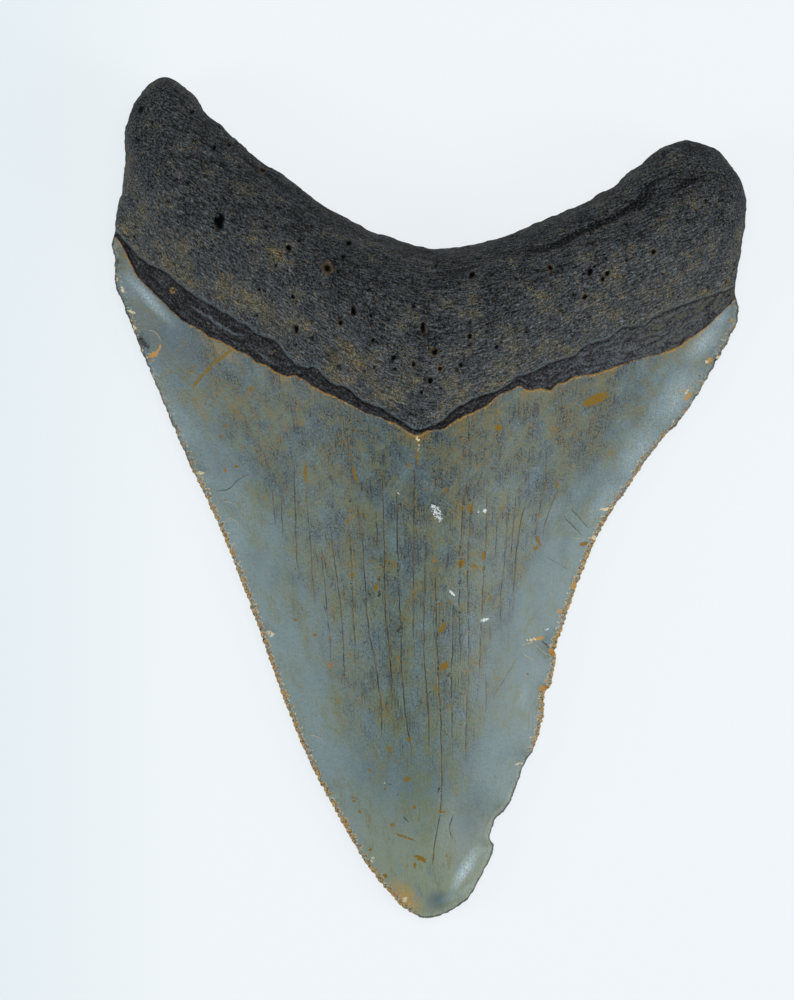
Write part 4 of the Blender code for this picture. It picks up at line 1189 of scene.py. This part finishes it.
# Colours are linear
paint = {
    "enamel": {
        "blueGrey": (0.112, 0.164, 0.170),
        "greenGrey": (0.122, 0.160, 0.112),
        "slate": (0.048, 0.070, 0.080),
        "pale": (0.225, 0.300, 0.305),
        "olive": (0.150, 0.142, 0.055),
        "ochre": (0.216, 0.124, 0.010),
        "rust": (0.250, 0.118, 0.018),
        "speck": (0.010, 0.013, 0.016),
        "tip": (0.230, 0.265, 0.185),
        "sheen": (0.520, 0.660, 0.730),
        "warm": (0.420, 0.270, 0.075),
        "chalk": (0.620, 0.660, 0.660),
        "blue": (0.042, 0.078, 0.112),
    },
    "crack": {
        "dark": (0.0045, 0.0045, 0.0060),
        "rusty": (0.170, 0.098, 0.020),
        "pale": (0.440, 0.440, 0.340),
    },
    "root": {
        "black": (0.0030, 0.0034, 0.0042),
        "grey": (0.056, 0.064, 0.070),
        "light": (0.205, 0.228, 0.240),
        "olive": (0.094, 0.082, 0.042),
        "dust": (0.225, 0.182, 0.082),
        "ochre": (0.340, 0.225, 0.060),
        "white": (0.60, 0.61, 0.60),
        "rust": (0.130, 0.085, 0.034),
        # painted highlight along the lip over the ledge
        "ledgeHighlight": (0.115, 0.140, 0.155),
        # painted shade in the vessel openings and pores
        "pit": (0.0010, 0.0010, 0.0012),
    },
    "band": {
        "dark": (0.0050, 0.0050, 0.0060),
        "lighter": (0.056, 0.055, 0.059),
        "blueGrey": (0.130, 0.158, 0.178),
        "olive": (0.100, 0.088, 0.046),
        "shadow": (0.0030, 0.0030, 0.0036),
    },
    "edge": {
        "orange": (0.530, 0.310, 0.055),
        "amber": (0.430, 0.215, 0.030),
        "cream": (0.640, 0.540, 0.340),
        "tan": (0.200, 0.145, 0.075),
        "brown": (0.040, 0.026, 0.016),
        "grey": (0.150, 0.180, 0.175),
        "white": (0.480, 0.520, 0.490),
        "line": (0.480, 0.250, 0.050),
        "broken": (0.035, 0.028, 0.020),
        "chamfer": (0.330, 0.350, 0.280),
    },
}


class Coat:
    # Layers of colour, each laid over the last where its factor says
    def __init__(self, colours, colour):
        self.colours = colours
        self.colour = colour

    def lay(self, factor, colour):
        over = self.colours[colour] if isinstance(colour, str) else colour
        self.colour = mixColour(factor, self.colour, over)


def rootBoneGroup():
    # Near-black fibrous bone with dust on it
    tree, given, out = newTree("rootBone", "ShaderNodeTree", {
        "Position": "vector", "Ledge Distance": "value", "Pit": "value", "Pit Rust": "value",
        "Fold": "value", "Relief": "value",
    }, {"Colour": "colour"})
    colours = paint["root"]
    place = given["Position"]
    flow = fibreFlow(place)
    mottle = noiseSized(flow, (0.31, 0.23, 0.27), 3.0, 0.75)
    fibres = noiseSized(flow, (1.9, 0.28, 0.28), 3.0, 0.65, 0.5)
    cells = wireFrom(tree, "ShaderNodeTexVoronoi", {"Vector": place, "Scale": 1.7}, "Distance")
    # The relief term paints the lows darker and the raised bits lighter, a painted shade
    value = mottle * 0.62 + fibres * 0.38 + (cells - 0.45) * 0.035 + given["Relief"] * 0.06

    # Lighter and dusty low on the root, dark on the lobes
    broad = noiseSized(place, (5.0, 4.2, 4.2), 6.0, 0.70)
    low = easeBetween(given["Ledge Distance"], 17.0, 1.0)
    dusty = easeBetween(low * 0.09 + broad, 0.50, 0.78)
    value = value + low * 0.060 + (broad - 0.5) * 0.19 - 0.022
    thread = mixColour(dusty * 0.70, colours["grey"], colours["olive"])
    coat = Coat(colours, mixColour(easeBetween(value, 0.412, 0.545), colours["black"], thread))
    dusted = mixColour(dusty * 0.60, colours["light"], colours["dust"])
    coat.lay(easeBetween(value, 0.545, 0.66) * 0.85, dusted)

    # Ochre dots where it is dusty, and a few white bits
    dots = noiseSized(place, (0.21, 0.23, 0.22), 2.0, 0.55)
    dots = easeBetween(dusty * 0.115 + dots, 0.665, 0.72)
    coat.lay(dots * 0.80, "ochre")
    bits = addNode(tree, "ShaderNodeTexVoronoi", {"Vector": place, "Scale": 0.42})
    away, centre = Wire(tree, bits.outputs["Distance"]), Wire(tree, bits.outputs["Position"])
    chosen = calc("GREATER_THAN", wireFrom(tree, "ShaderNodeTexWhiteNoise", {"Vector": centre}), 0.95)
    coat.lay(easeBetween(away, 0.075, 0.045) * chosen, "white")

    # Painted highlight on the lip over the ledge, painted shade in the grooves and openings, rust round
    # the openings
    ledgeHighlight = easeBetween(given["Ledge Distance"], 0.55, 0.12) * easeBetween(mottle, 0.38, 0.54)
    coat.lay(ledgeHighlight * 0.85, "ledgeHighlight")
    # Painted shade in the grooves
    groove = easeBetween(given["Fold"], 0.35, 1.0) * easeBetween(mottle, 0.68, 0.46)
    coat.lay(groove, "black")
    coat.lay(given["Pit Rust"] * 0.55, "rust")
    # Painted shade, near black, in the vessel openings and pores
    coat.lay(given["Pit"], "pit")
    plug(coat.colour, tree, out["Colour"])
    return tree


def dentalBandGroup():
    # Dark lines that run along the chevron, lighter and olive towards the right shoulder
    tree, given, out = newTree("dentalBand", "ShaderNodeTree", {
        "Position": "vector", "Enamel Distance": "value", "Ledge Distance": "value",
        "Pit Rust": "value", "Fold": "value",
    }, {"Colour": "colour"})
    colours = paint["band"]
    place = given["Position"]
    x = partsOf(place)[0]
    lines = noiseAt(vectorOf(x * 0.55, given["Enamel Distance"] * 2.2), 1.0, 5.0, 0.68, 0.35)
    grain = noiseAt(place, 3.3, 3.0, 0.75)
    value = lines * 0.45 + grain * 0.55 + easeBetween(x, 6.0, 30.0) * 0.070
    coat = Coat(colours, mixColour(easeBetween(value, 0.42, 0.60), colours["dark"], colours["lighter"]))
    coat.lay(easeBetween(value, 0.55, 0.64) * 0.75, "blueGrey")
    upper = easeBetween(given["Ledge Distance"], -3.0, -0.6)
    olive = easeBetween(upper * 0.06 + lines, 0.50, 0.66) * easeBetween(x, 22.0, 34.0)
    coat.lay(olive * 0.75, "olive")
    # Painted highlight, bluish grey, along the ridges of the folds
    ridge = easeBetween(given["Fold"], -0.15, -0.70) * easeBetween(grain, 0.36, 0.54)
    coat.lay(ridge * 0.8, "blueGrey")
    shadow = easeBetween(given["Ledge Distance"], -0.45, -0.08) * easeBetween(grain, 0.66, 0.44)
    coat.lay(shadow * 0.85, "shadow")
    ochre = easeBetween(given["Pit Rust"] * grain, 0.40, 0.56)
    coat.lay(ochre * 0.8, paint["root"]["ochre"])
    plug(coat.colour, tree, out["Colour"])
    return tree


def crownFlow(place):
    # Lines down the crown lean towards a point far below the tip
    x, y, z = partsOf(place)
    return vectorOf((x - 2.0) * (140.0 / (y + 140.0)), y, z)


def toothEnamelGroup():
    # Mottled enamel, streaked down its middle and lighter along its edges, partly its own colour and
    # partly a painted sheen
    tree, given, out = newTree("toothEnamel", "ShaderNodeTree", {
        "Position": "vector", "Edge Distance": "value", "Enamel Distance": "value",
    }, {"Colour": "colour", "Mottle": "value"})
    colours = paint["enamel"]
    place = given["Position"]
    flow = crownFlow(place)
    x, y, _ = partsOf(place)

    # The streaked middle of the crown, bordered by smooth margins
    broad = noiseSized(flow, (6.0, 12.0, 8.0), 4.0, 0.6)
    inward = (broad - 0.5) * 9.0 + given["Edge Distance"]
    middle = easeBetween(inward, 4.5, 10.5) * easeBetween(y, -44.0, -28.0)

    patches = noiseSized(flow, (3.6, 5.4, 4.6), 6.0, 0.66, shift=(17.0, 5.0, 2.0))
    greener = easeBetween(middle * 0.07 + patches, 0.42, 0.64)
    coat = Coat(colours, mixColour(greener, colours["blueGrey"], colours["greenGrey"]))
    # Lighter margins, partly the enamel's own colour and partly a painted sheen
    lower = easeBetween(given["Enamel Distance"], -4.0, -20.0, 0.30, 0.58)
    coat.lay(easeBetween(inward, 11.0, 1.0) * lower, "pale")
    clouds = noiseSized(flow, (2.3, 3.2, 2.6), 5.0, 0.64, shift=(3.0, 9.0, 1.0))
    clouds = clouds * 0.65 + broad * 0.35
    top = easeBetween(given["Enamel Distance"], -30.0, -1.0)
    slate = easeBetween(top * 0.14 + clouds, 0.46, 0.66)
    coat.lay(slate * (middle * 0.38 + top * 0.16 + 0.18), "slate")
    tip = easeBetween(y, -38.0, -53.0) * easeBetween(clouds, 0.34, 0.52)
    coat.lay(tip * 0.93, "tip")

    # Fine mottle everywhere, dark and olive flecks in the middle
    mottle = noiseSized(flow, (0.26, 0.31, 0.28), 3.0, 0.72)
    grainy = calc("MAXIMUM", middle, top * 0.75)
    darker = easeBetween(mottle, 0.49, 0.36) * (grainy * 0.50 + 0.18)
    coat.lay(darker, "slate")
    lighter = easeBetween(mottle, 0.52, 0.64) * (grainy * 0.16 + 0.20)
    coat.lay(lighter, "pale")
    flecks = noiseSized(flow, (0.42, 0.52, 0.45), 3.0, 0.6, shift=(31.0, 7.0, 3.0))
    hairs = noiseSized(flow, (0.24, 1.5, 0.6), 3.0, 0.6, 0.2)
    wash = middle * 0.035 + top * 0.020 + patches * 0.48 + hairs * 0.52
    coat.lay(easeBetween(wash, 0.51, 0.62) * 0.52, "olive")
    dabs = grainy * 0.042 + patches * 0.40 + flecks * 0.60
    coat.lay(easeBetween(dabs, 0.618, 0.660) * 0.85, "ochre")

    # Brushed strokes that run along the band, high on the crown
    strokes = noiseAt(vectorOf(x / 2.1, (abs(x) * -0.5 + y) / 0.26), 1.0, 3.0, 0.6)
    high = easeBetween(given["Enamel Distance"], -17.0, -3.0)
    strokes = easeBetween(strokes, 0.55, 0.65) * high * easeBetween(patches, 0.40, 0.55)
    coat.lay(strokes * 0.62, "ochre")
    specks = noiseSized(flow, (0.19, 0.27, 0.22), 2.0, 0.6)
    cluster = easeBetween(clouds, 0.40, 0.58) * (middle * 0.090 + top * 0.060)
    dark = easeBetween(specks - cluster, 0.335, 0.265)
    coat.lay(dark * (middle * 0.55 + 0.35), "speck")

    # A few long thin lines down the middle, some dark and some rusty
    streaks = noiseSized(flow, (0.15, 3.4, 2.0), 2.0, 0.55)
    strength = middle * easeBetween(clouds, 0.40, 0.56)
    darkLines = easeBetween(streaks, 0.420, 0.35) * strength
    coat.lay(darkLines * 0.74, "speck")
    rustyLines = easeBetween(streaks, 0.64, 0.70) * strength
    coat.lay(rustyLines * 0.70, "ochre")
    scratches = noiseSized(vectorCalc("ADD", place, (3.0, 11.0, 5.0)), (2.0, 0.16, 0.5))
    coat.lay(easeBetween(scratches, 0.66, 0.78) * 0.30, "pale")

    # The stained line under the band
    stain = mottle * 0.5 + patches * 0.5
    reach = easeBetween(stain, 0.40, 0.62) * -0.36
    line = easeBetween(given["Enamel Distance"] - reach, -0.08, 0.06) * easeBetween(stain, 0.38, 0.50)
    bright = mixColour(easeBetween(mottle, 0.42, 0.62), paint["crack"]["rusty"], paint["edge"]["line"])
    coat.lay(line * 0.92, bright)
    halo = easeBetween(given["Enamel Distance"], -1.5, -0.2) * easeBetween(stain, 0.50, 0.62)
    coat.lay(halo * 0.55, "ochre")
    plug(coat.colour, tree, out["Colour"])
    plug(mottle, tree, out["Mottle"])
    return tree


def serratedEdgeGroup():
    # An ochre line on the very edge, pale beads inside it and dirt in the furrows between them
    tree, given, out = newTree("serratedEdgeStain", "ShaderNodeTree", {
        "Position": "vector", "Run": "value", "Edge Distance": "value", "Serrated": "value",
        "Stain": "value", "Pitch": "value",
    }, {"Colour": "colour", "Mask": "value"})
    colours = paint["edge"]
    place = given["Position"]
    wave = calc("COSINE", given["Run"] / given["Pitch"] * fullTurn)
    patchy = noiseSized(place, (0.8, 0.8, 0.8), 3.0, 0.6)
    fine = noiseSized(place, (0.24, 0.24, 0.24), 2.0, 0.6)
    drift = noiseSized(place, (4.0, 4.0, 4.0))
    stained = easeBetween(given["Stain"] + drift - 0.5, 0.15, 0.75)

    # Each bead ends inward in a pale arc
    border = (wave * -0.5 + 0.5) ** 0.7 * 0.46 + 0.34 + (patchy - 0.5) * 1.8
    gap = given["Edge Distance"] - border
    inside = easeBetween(gap, 0.10, -0.06)
    arc = easeBetween(abs(gap), 0.13, 0.03) * easeBetween(fine, 0.40, 0.54)
    warm = mixColour(easeBetween(patchy, 0.44, 0.60), colours["tan"], colours["amber"])
    fill = mixColour(stained * easeBetween(patchy, 0.36, 0.58), colours["grey"], warm)
    fill = mixColour(easeBetween(fine, 0.47, 0.39), fill, colours["brown"])
    pale = mixColour(easeBetween(stained + patchy, 0.60, 1.20), colours["white"], colours["cream"])
    coat = Coat(colours, mixColour(arc, fill, pale))
    outer = easeBetween((patchy - 0.5) * -0.7 + given["Edge Distance"], 0.28, 0.13)
    bare = mixColour(easeBetween(patchy, 0.54, 0.64), colours["brown"], colours["cream"])
    orange = mixColour(easeBetween(fine, 0.42, 0.52), colours["brown"], colours["orange"])
    coat.lay(outer, mixColour(stained, bare, orange))
    mask = calc("MAXIMUM", inside * (stained * 0.45 + 0.35), arc * (stained * 0.35 + 0.45))
    mask = calc("MAXIMUM", mask, outer * 0.88)
    mask = mask * easeBetween(given["Serrated"], 0.02, 0.35)
    plug(coat.colour, tree, out["Colour"])
    plug(mask, tree, out["Mask"])
    return tree


def surfaceGrainGroup():
    # Height of the finest grain, for the bump alone
    inputs = {"Position": "vector", "Root": "value"}
    tree, given, out = newTree("surfaceGrain", "ShaderNodeTree", inputs, {"Height": "value"})
    rough = noiseSized(fibreFlow(given["Position"]), (0.62, 0.36, 0.40), 3.0, 0.65)
    smooth = noiseSized(given["Position"], (0.42, 0.50, 0.45), 3.0, 0.65)
    plug(mixValue(given["Root"], smooth * 0.20, rough), tree, out["Height"])
    return tree


def attribute(tree, name, output="Fac"):
    return wireFrom(tree, "ShaderNodeAttribute", output=output, attribute_name=name)


def placeGroup(tree, group, inputs):
    # Feeds those of the values that the group has an input for
    made = addNode(tree, "ShaderNodeGroup", node_tree=group)
    for label in made.inputs.keys():
        plug(inputs[label], tree, made.inputs[label])
    return {socket.name: Wire(tree, socket) for socket in made.outputs}


def fossilToothMaterial():
    material = bpy.data.materials.new("fossilTooth")
    material.use_nodes = True
    tree = material.node_tree
    shader = tree.nodes["Principled BSDF"]
    place = inMillimetres(wireFrom(tree, "ShaderNodeTexCoord", output="Object"))
    read = {name: attribute(tree, name) for name in (
        "enamelDistance", "ledgeDistance", "edgeDistance", "marginDistance", "edgeRun", "serrated",
        "edgeStain", "crackDepth", "crackRust", "pitDepth", "pitRust", "poreDepth", "foldShade",
        "reliefHeight",
    )}
    stain, shade, tint = (partsOf(attribute(tree, name, "Vector")) for name in markAttributes)

    given = {
        "Position": place,
        "Enamel Distance": read["enamelDistance"],
        "Ledge Distance": read["ledgeDistance"],
        "Edge Distance": read["edgeDistance"],
        # how deep in an opening or pore, for the painted shade in them
        "Pit": calc("MAXIMUM", read["pitDepth"], read["poreDepth"] * 0.8),
        "Pit Rust": read["pitRust"],
        "Fold": read["foldShade"],
        "Relief": read["reliefHeight"],
        "Run": read["edgeRun"],
        "Serrated": read["serrated"],
        "Stain": read["edgeStain"],
        "Pitch": serrations["pitch"],
    }
    root = placeGroup(tree, rootBoneGroup(), given)
    band = placeGroup(tree, dentalBandGroup(), given)
    enamel = placeGroup(tree, toothEnamelGroup(), given)
    edge = placeGroup(tree, serratedEdgeGroup(), given)

    # Marks, cracks and the stained serrations lie over the enamel
    ragged = noiseAt(place, 2.9, 3.0, 0.65)
    grit = noiseAt(place, 4.4, 2.0, 0.60)

    def roughened(value, grain=ragged):
        return easeBetween(value + grain * 1.7 - 0.85, 0.46, 0.64)

    coat = Coat(paint["enamel"], enamel["Colour"])
    coat.lay(tint[0] * easeBetween(ragged, 0.30, 0.60), "warm")
    # Blue marks: the blue spot at the tip, a darker patch by the left shoulder, and painted shade in a
    # flake scar and low right of the tip
    coat.lay(shade[2] * 0.75, "blue")
    coat.lay(tint[1] * easeBetween(grit, 0.36, 0.66, 0.35, 1.15), "sheen")
    ochre = roughened(stain[0])
    coat.lay(ochre * 0.94, "ochre")
    coat.lay(roughened(stain[1]), "rust")
    tone = mixColour(read["crackRust"], paint["crack"]["dark"], paint["crack"]["rusty"])
    tone = mixColour(easeBetween(read["crackRust"], 1.1, 1.6), tone, paint["crack"]["pale"])
    crack = easeBetween(read["crackDepth"], 0.02, 0.32) * easeBetween(ragged, 0.30, 0.46, 0.60, 1.0)
    coat.lay(crack * 0.95, tone)
    coat.lay(edge["Mask"], edge["Colour"])
    coat.lay(roughened(tint[2]), paint["edge"]["amber"])
    coat.lay(roughened(stain[2]), paint["edge"]["cream"])
    coat.lay(roughened(shade[0]) * 0.85, "speck")
    coat.lay(roughened(shade[1], grit), "chalk")
    unserrated = easeBetween(read["serrated"], 0.30, 0.05)
    chamfer = easeBetween(read["marginDistance"], 0.9, 0.35) * easeBetween(grit, 0.40, 0.60)
    coat.lay(chamfer * unserrated * 0.65, paint["edge"]["chamfer"])
    broken = easeBetween(read["marginDistance"], 0.19, 0.07) * unserrated
    coat.lay(broken * 0.75, paint["edge"]["broken"])

    isBand = easeBetween(read["enamelDistance"], -0.05, 0.05)
    isRoot = easeBetween(read["ledgeDistance"], -0.06, 0.06)
    coat.lay(isBand, band["Colour"])
    coat.lay(isRoot, root["Colour"])
    polished = easeBetween(enamel["Mottle"], 0.3, 0.7, 0.34, 0.48)
    roughness = mixValue(isRoot, mixValue(isBand, polished, 0.62), 0.78)
    height = placeGroup(tree, surfaceGrainGroup(), {"Position": place, "Root": isBand})["Height"]
    bump = wireFrom(tree, "ShaderNodeBump", {"Strength": 1.0, "Distance": 0.3 * mm, "Height": height})
    rounded = easeBetween(read["marginDistance"], 0.9, 0.0, 0.10, 0.12)
    gloss = mixValue(isBand, mixValue(ochre, 0.45, 0.15), rounded)
    surface = {
        "Base Color": coat.colour, "Roughness": roughness, "Specular IOR Level": gloss, "Normal": bump,
    }
    for label, value in surface.items():
        plug(value, tree, shader.inputs[label])
    return material


def buildTooth():
    material = fossilToothMaterial()
    mesh = buildBase()
    source = bpy.data.objects.new("toothSource", mesh)
    bpy.context.scene.collection.objects.link(source)
    addNodesModifier(source, serrationTree(), {
        "Pitch": serrations["pitch"], "Depth": serrations["depth"], "Reach": serrations["reach"],
        "Furrow": serrations["furrow"], "Wear": serrations["edgeWear"], "Material": material,
    })
    addNodesModifier(source, rootReliefTree(), {**rootRelief, "Material": material})
    depsgraph = bpy.context.evaluated_depsgraph_get()
    made = bpy.data.meshes.new_from_object(source.evaluated_get(depsgraph), depsgraph=depsgraph)
    bpy.data.objects.remove(source)
    bpy.data.meshes.remove(mesh)

    # Centred as the solid is, and kept inside its box
    places = np.empty(len(made.vertices) * 3, np.float32)
    made.vertices.foreach_get("co", places)
    places = places.reshape(-1, 3)
    middle = (places.min(axis=0) + places.max(axis=0)) / 2.0
    places[:, :2] -= middle[:2]
    low, high = np.array(solidBox[0]), np.array(solidBox[1])
    room, size = high - low, places.max(axis=0) - places.min(axis=0)
    places[:, :2] *= np.minimum(room / size, 1.0)[:2]
    np.clip(places, low, high, out=places)
    made.vertices.foreach_set("co", places.ravel())
    made.update()
    made.name = "fossilTooth"
    tooth = bpy.data.objects.new("fossilTooth", made)
    bpy.context.scene.collection.objects.link(tooth)
    if not made.materials:
        made.materials.append(material)
    print("tooth made,", len(made.polygons), "triangles")
    return tooth


studio = {
    "floorSize": 3.0,
    "floorColour": (0.130, 0.136, 0.140),
    "floorGlow": (0.742, 0.778, 0.804),  # lit from below, so that shadows on it stay faint
    # The floor glow falls to a darker colour past the left edge of the tooth: painted shade on the floor
    "floorDusk": (0.668, 0.730, 0.762),  # what it falls to past the left edge of the tooth
    "duskBetween": (-0.030, -0.062),
    "cameraHeight": 1.40,
    "frameHeight": 0.140,  # what the picture's height spans at the tooth
    "frameCentre": (-0.00448, -0.00028),
    "focusHeight": 0.008,
    "sensor": 36.0,
    # place, size, power and colour of each soft light, aimed at the tooth
    "lights": [
        ((0.10, 0.20, 1.10), 0.8, 6.4, (1.0, 1.0, 1.0)),
        ((-0.85, -0.10, 0.50), 0.5, 3.6, (0.92, 0.97, 1.0)),
        ((0.85, -0.22, 0.50), 0.5, 4.1, (0.94, 0.98, 1.0)),
    ],
    "worldColour": (0.86, 0.94, 1.0),
    "worldStrength": 0.20,
}


def paleFloorMaterial():
    material = bpy.data.materials.new("paleFloor")
    material.use_nodes = True
    tree = material.node_tree
    across = partsOf(wireFrom(tree, "ShaderNodeTexCoord", output="Object"))[0]
    # Painted shade: the glow darkens past the left edge of the tooth
    dusk = easeBetween(across, *studio["duskBetween"])
    surface = {
        "Base Color": (*studio["floorColour"], 1.0), "Roughness": 0.7, "Specular IOR Level": 0.1,
        "Emission Color": mixColour(dusk, studio["floorGlow"], studio["floorDusk"]),
        "Emission Strength": 1.0,
    }
    for label, value in surface.items():
        plug(value, tree, tree.nodes["Principled BSDF"].inputs[label])
    return material


def buildStudio():
    scene = bpy.context.scene
    scene.view_settings.view_transform = "Standard"
    half = studio["floorSize"] / 2.0
    mesh = bpy.data.meshes.new("floor")
    corners = [(-half, -half, 0), (half, -half, 0), (half, half, 0), (-half, half, 0)]
    mesh.from_pydata(corners, [], [(0, 1, 2, 3)])
    floor = bpy.data.objects.new("floor", mesh)
    floor.location.z = -0.00005
    mesh.materials.append(paleFloorMaterial())
    scene.collection.objects.link(floor)

    for number, (place, size, power, colour) in enumerate(studio["lights"]):
        light = bpy.data.lights.new(f"softLight{number}", "AREA")
        light.shape = "DISK"
        light.size = size
        light.energy = power
        light.color = colour
        lamp = bpy.data.objects.new(light.name, light)
        lamp.location = place
        lamp.rotation_euler = (-Vector(place)).to_track_quat("-Z", "Y").to_euler()
        scene.collection.objects.link(lamp)

    world = bpy.data.worlds.new("studio")
    world.use_nodes = True
    background = world.node_tree.nodes["Background"]
    background.inputs["Color"].default_value = (*studio["worldColour"], 1.0)
    background.inputs["Strength"].default_value = studio["worldStrength"]
    scene.world = world

    camera = bpy.data.cameras.new("camera")
    camera.sensor_width = studio["sensor"]
    distance = studio["cameraHeight"] - studio["focusHeight"]
    camera.lens = studio["sensor"] * distance / studio["frameHeight"]
    camera.clip_end = 10.0
    eye = bpy.data.objects.new("camera", camera)
    eye.location = (*studio["frameCentre"], studio["cameraHeight"])
    scene.collection.objects.link(eye)
    scene.camera = eye
    print("studio set")


buildStudio()
tooth = buildTooth()
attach(tooth, "root")
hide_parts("tooth")
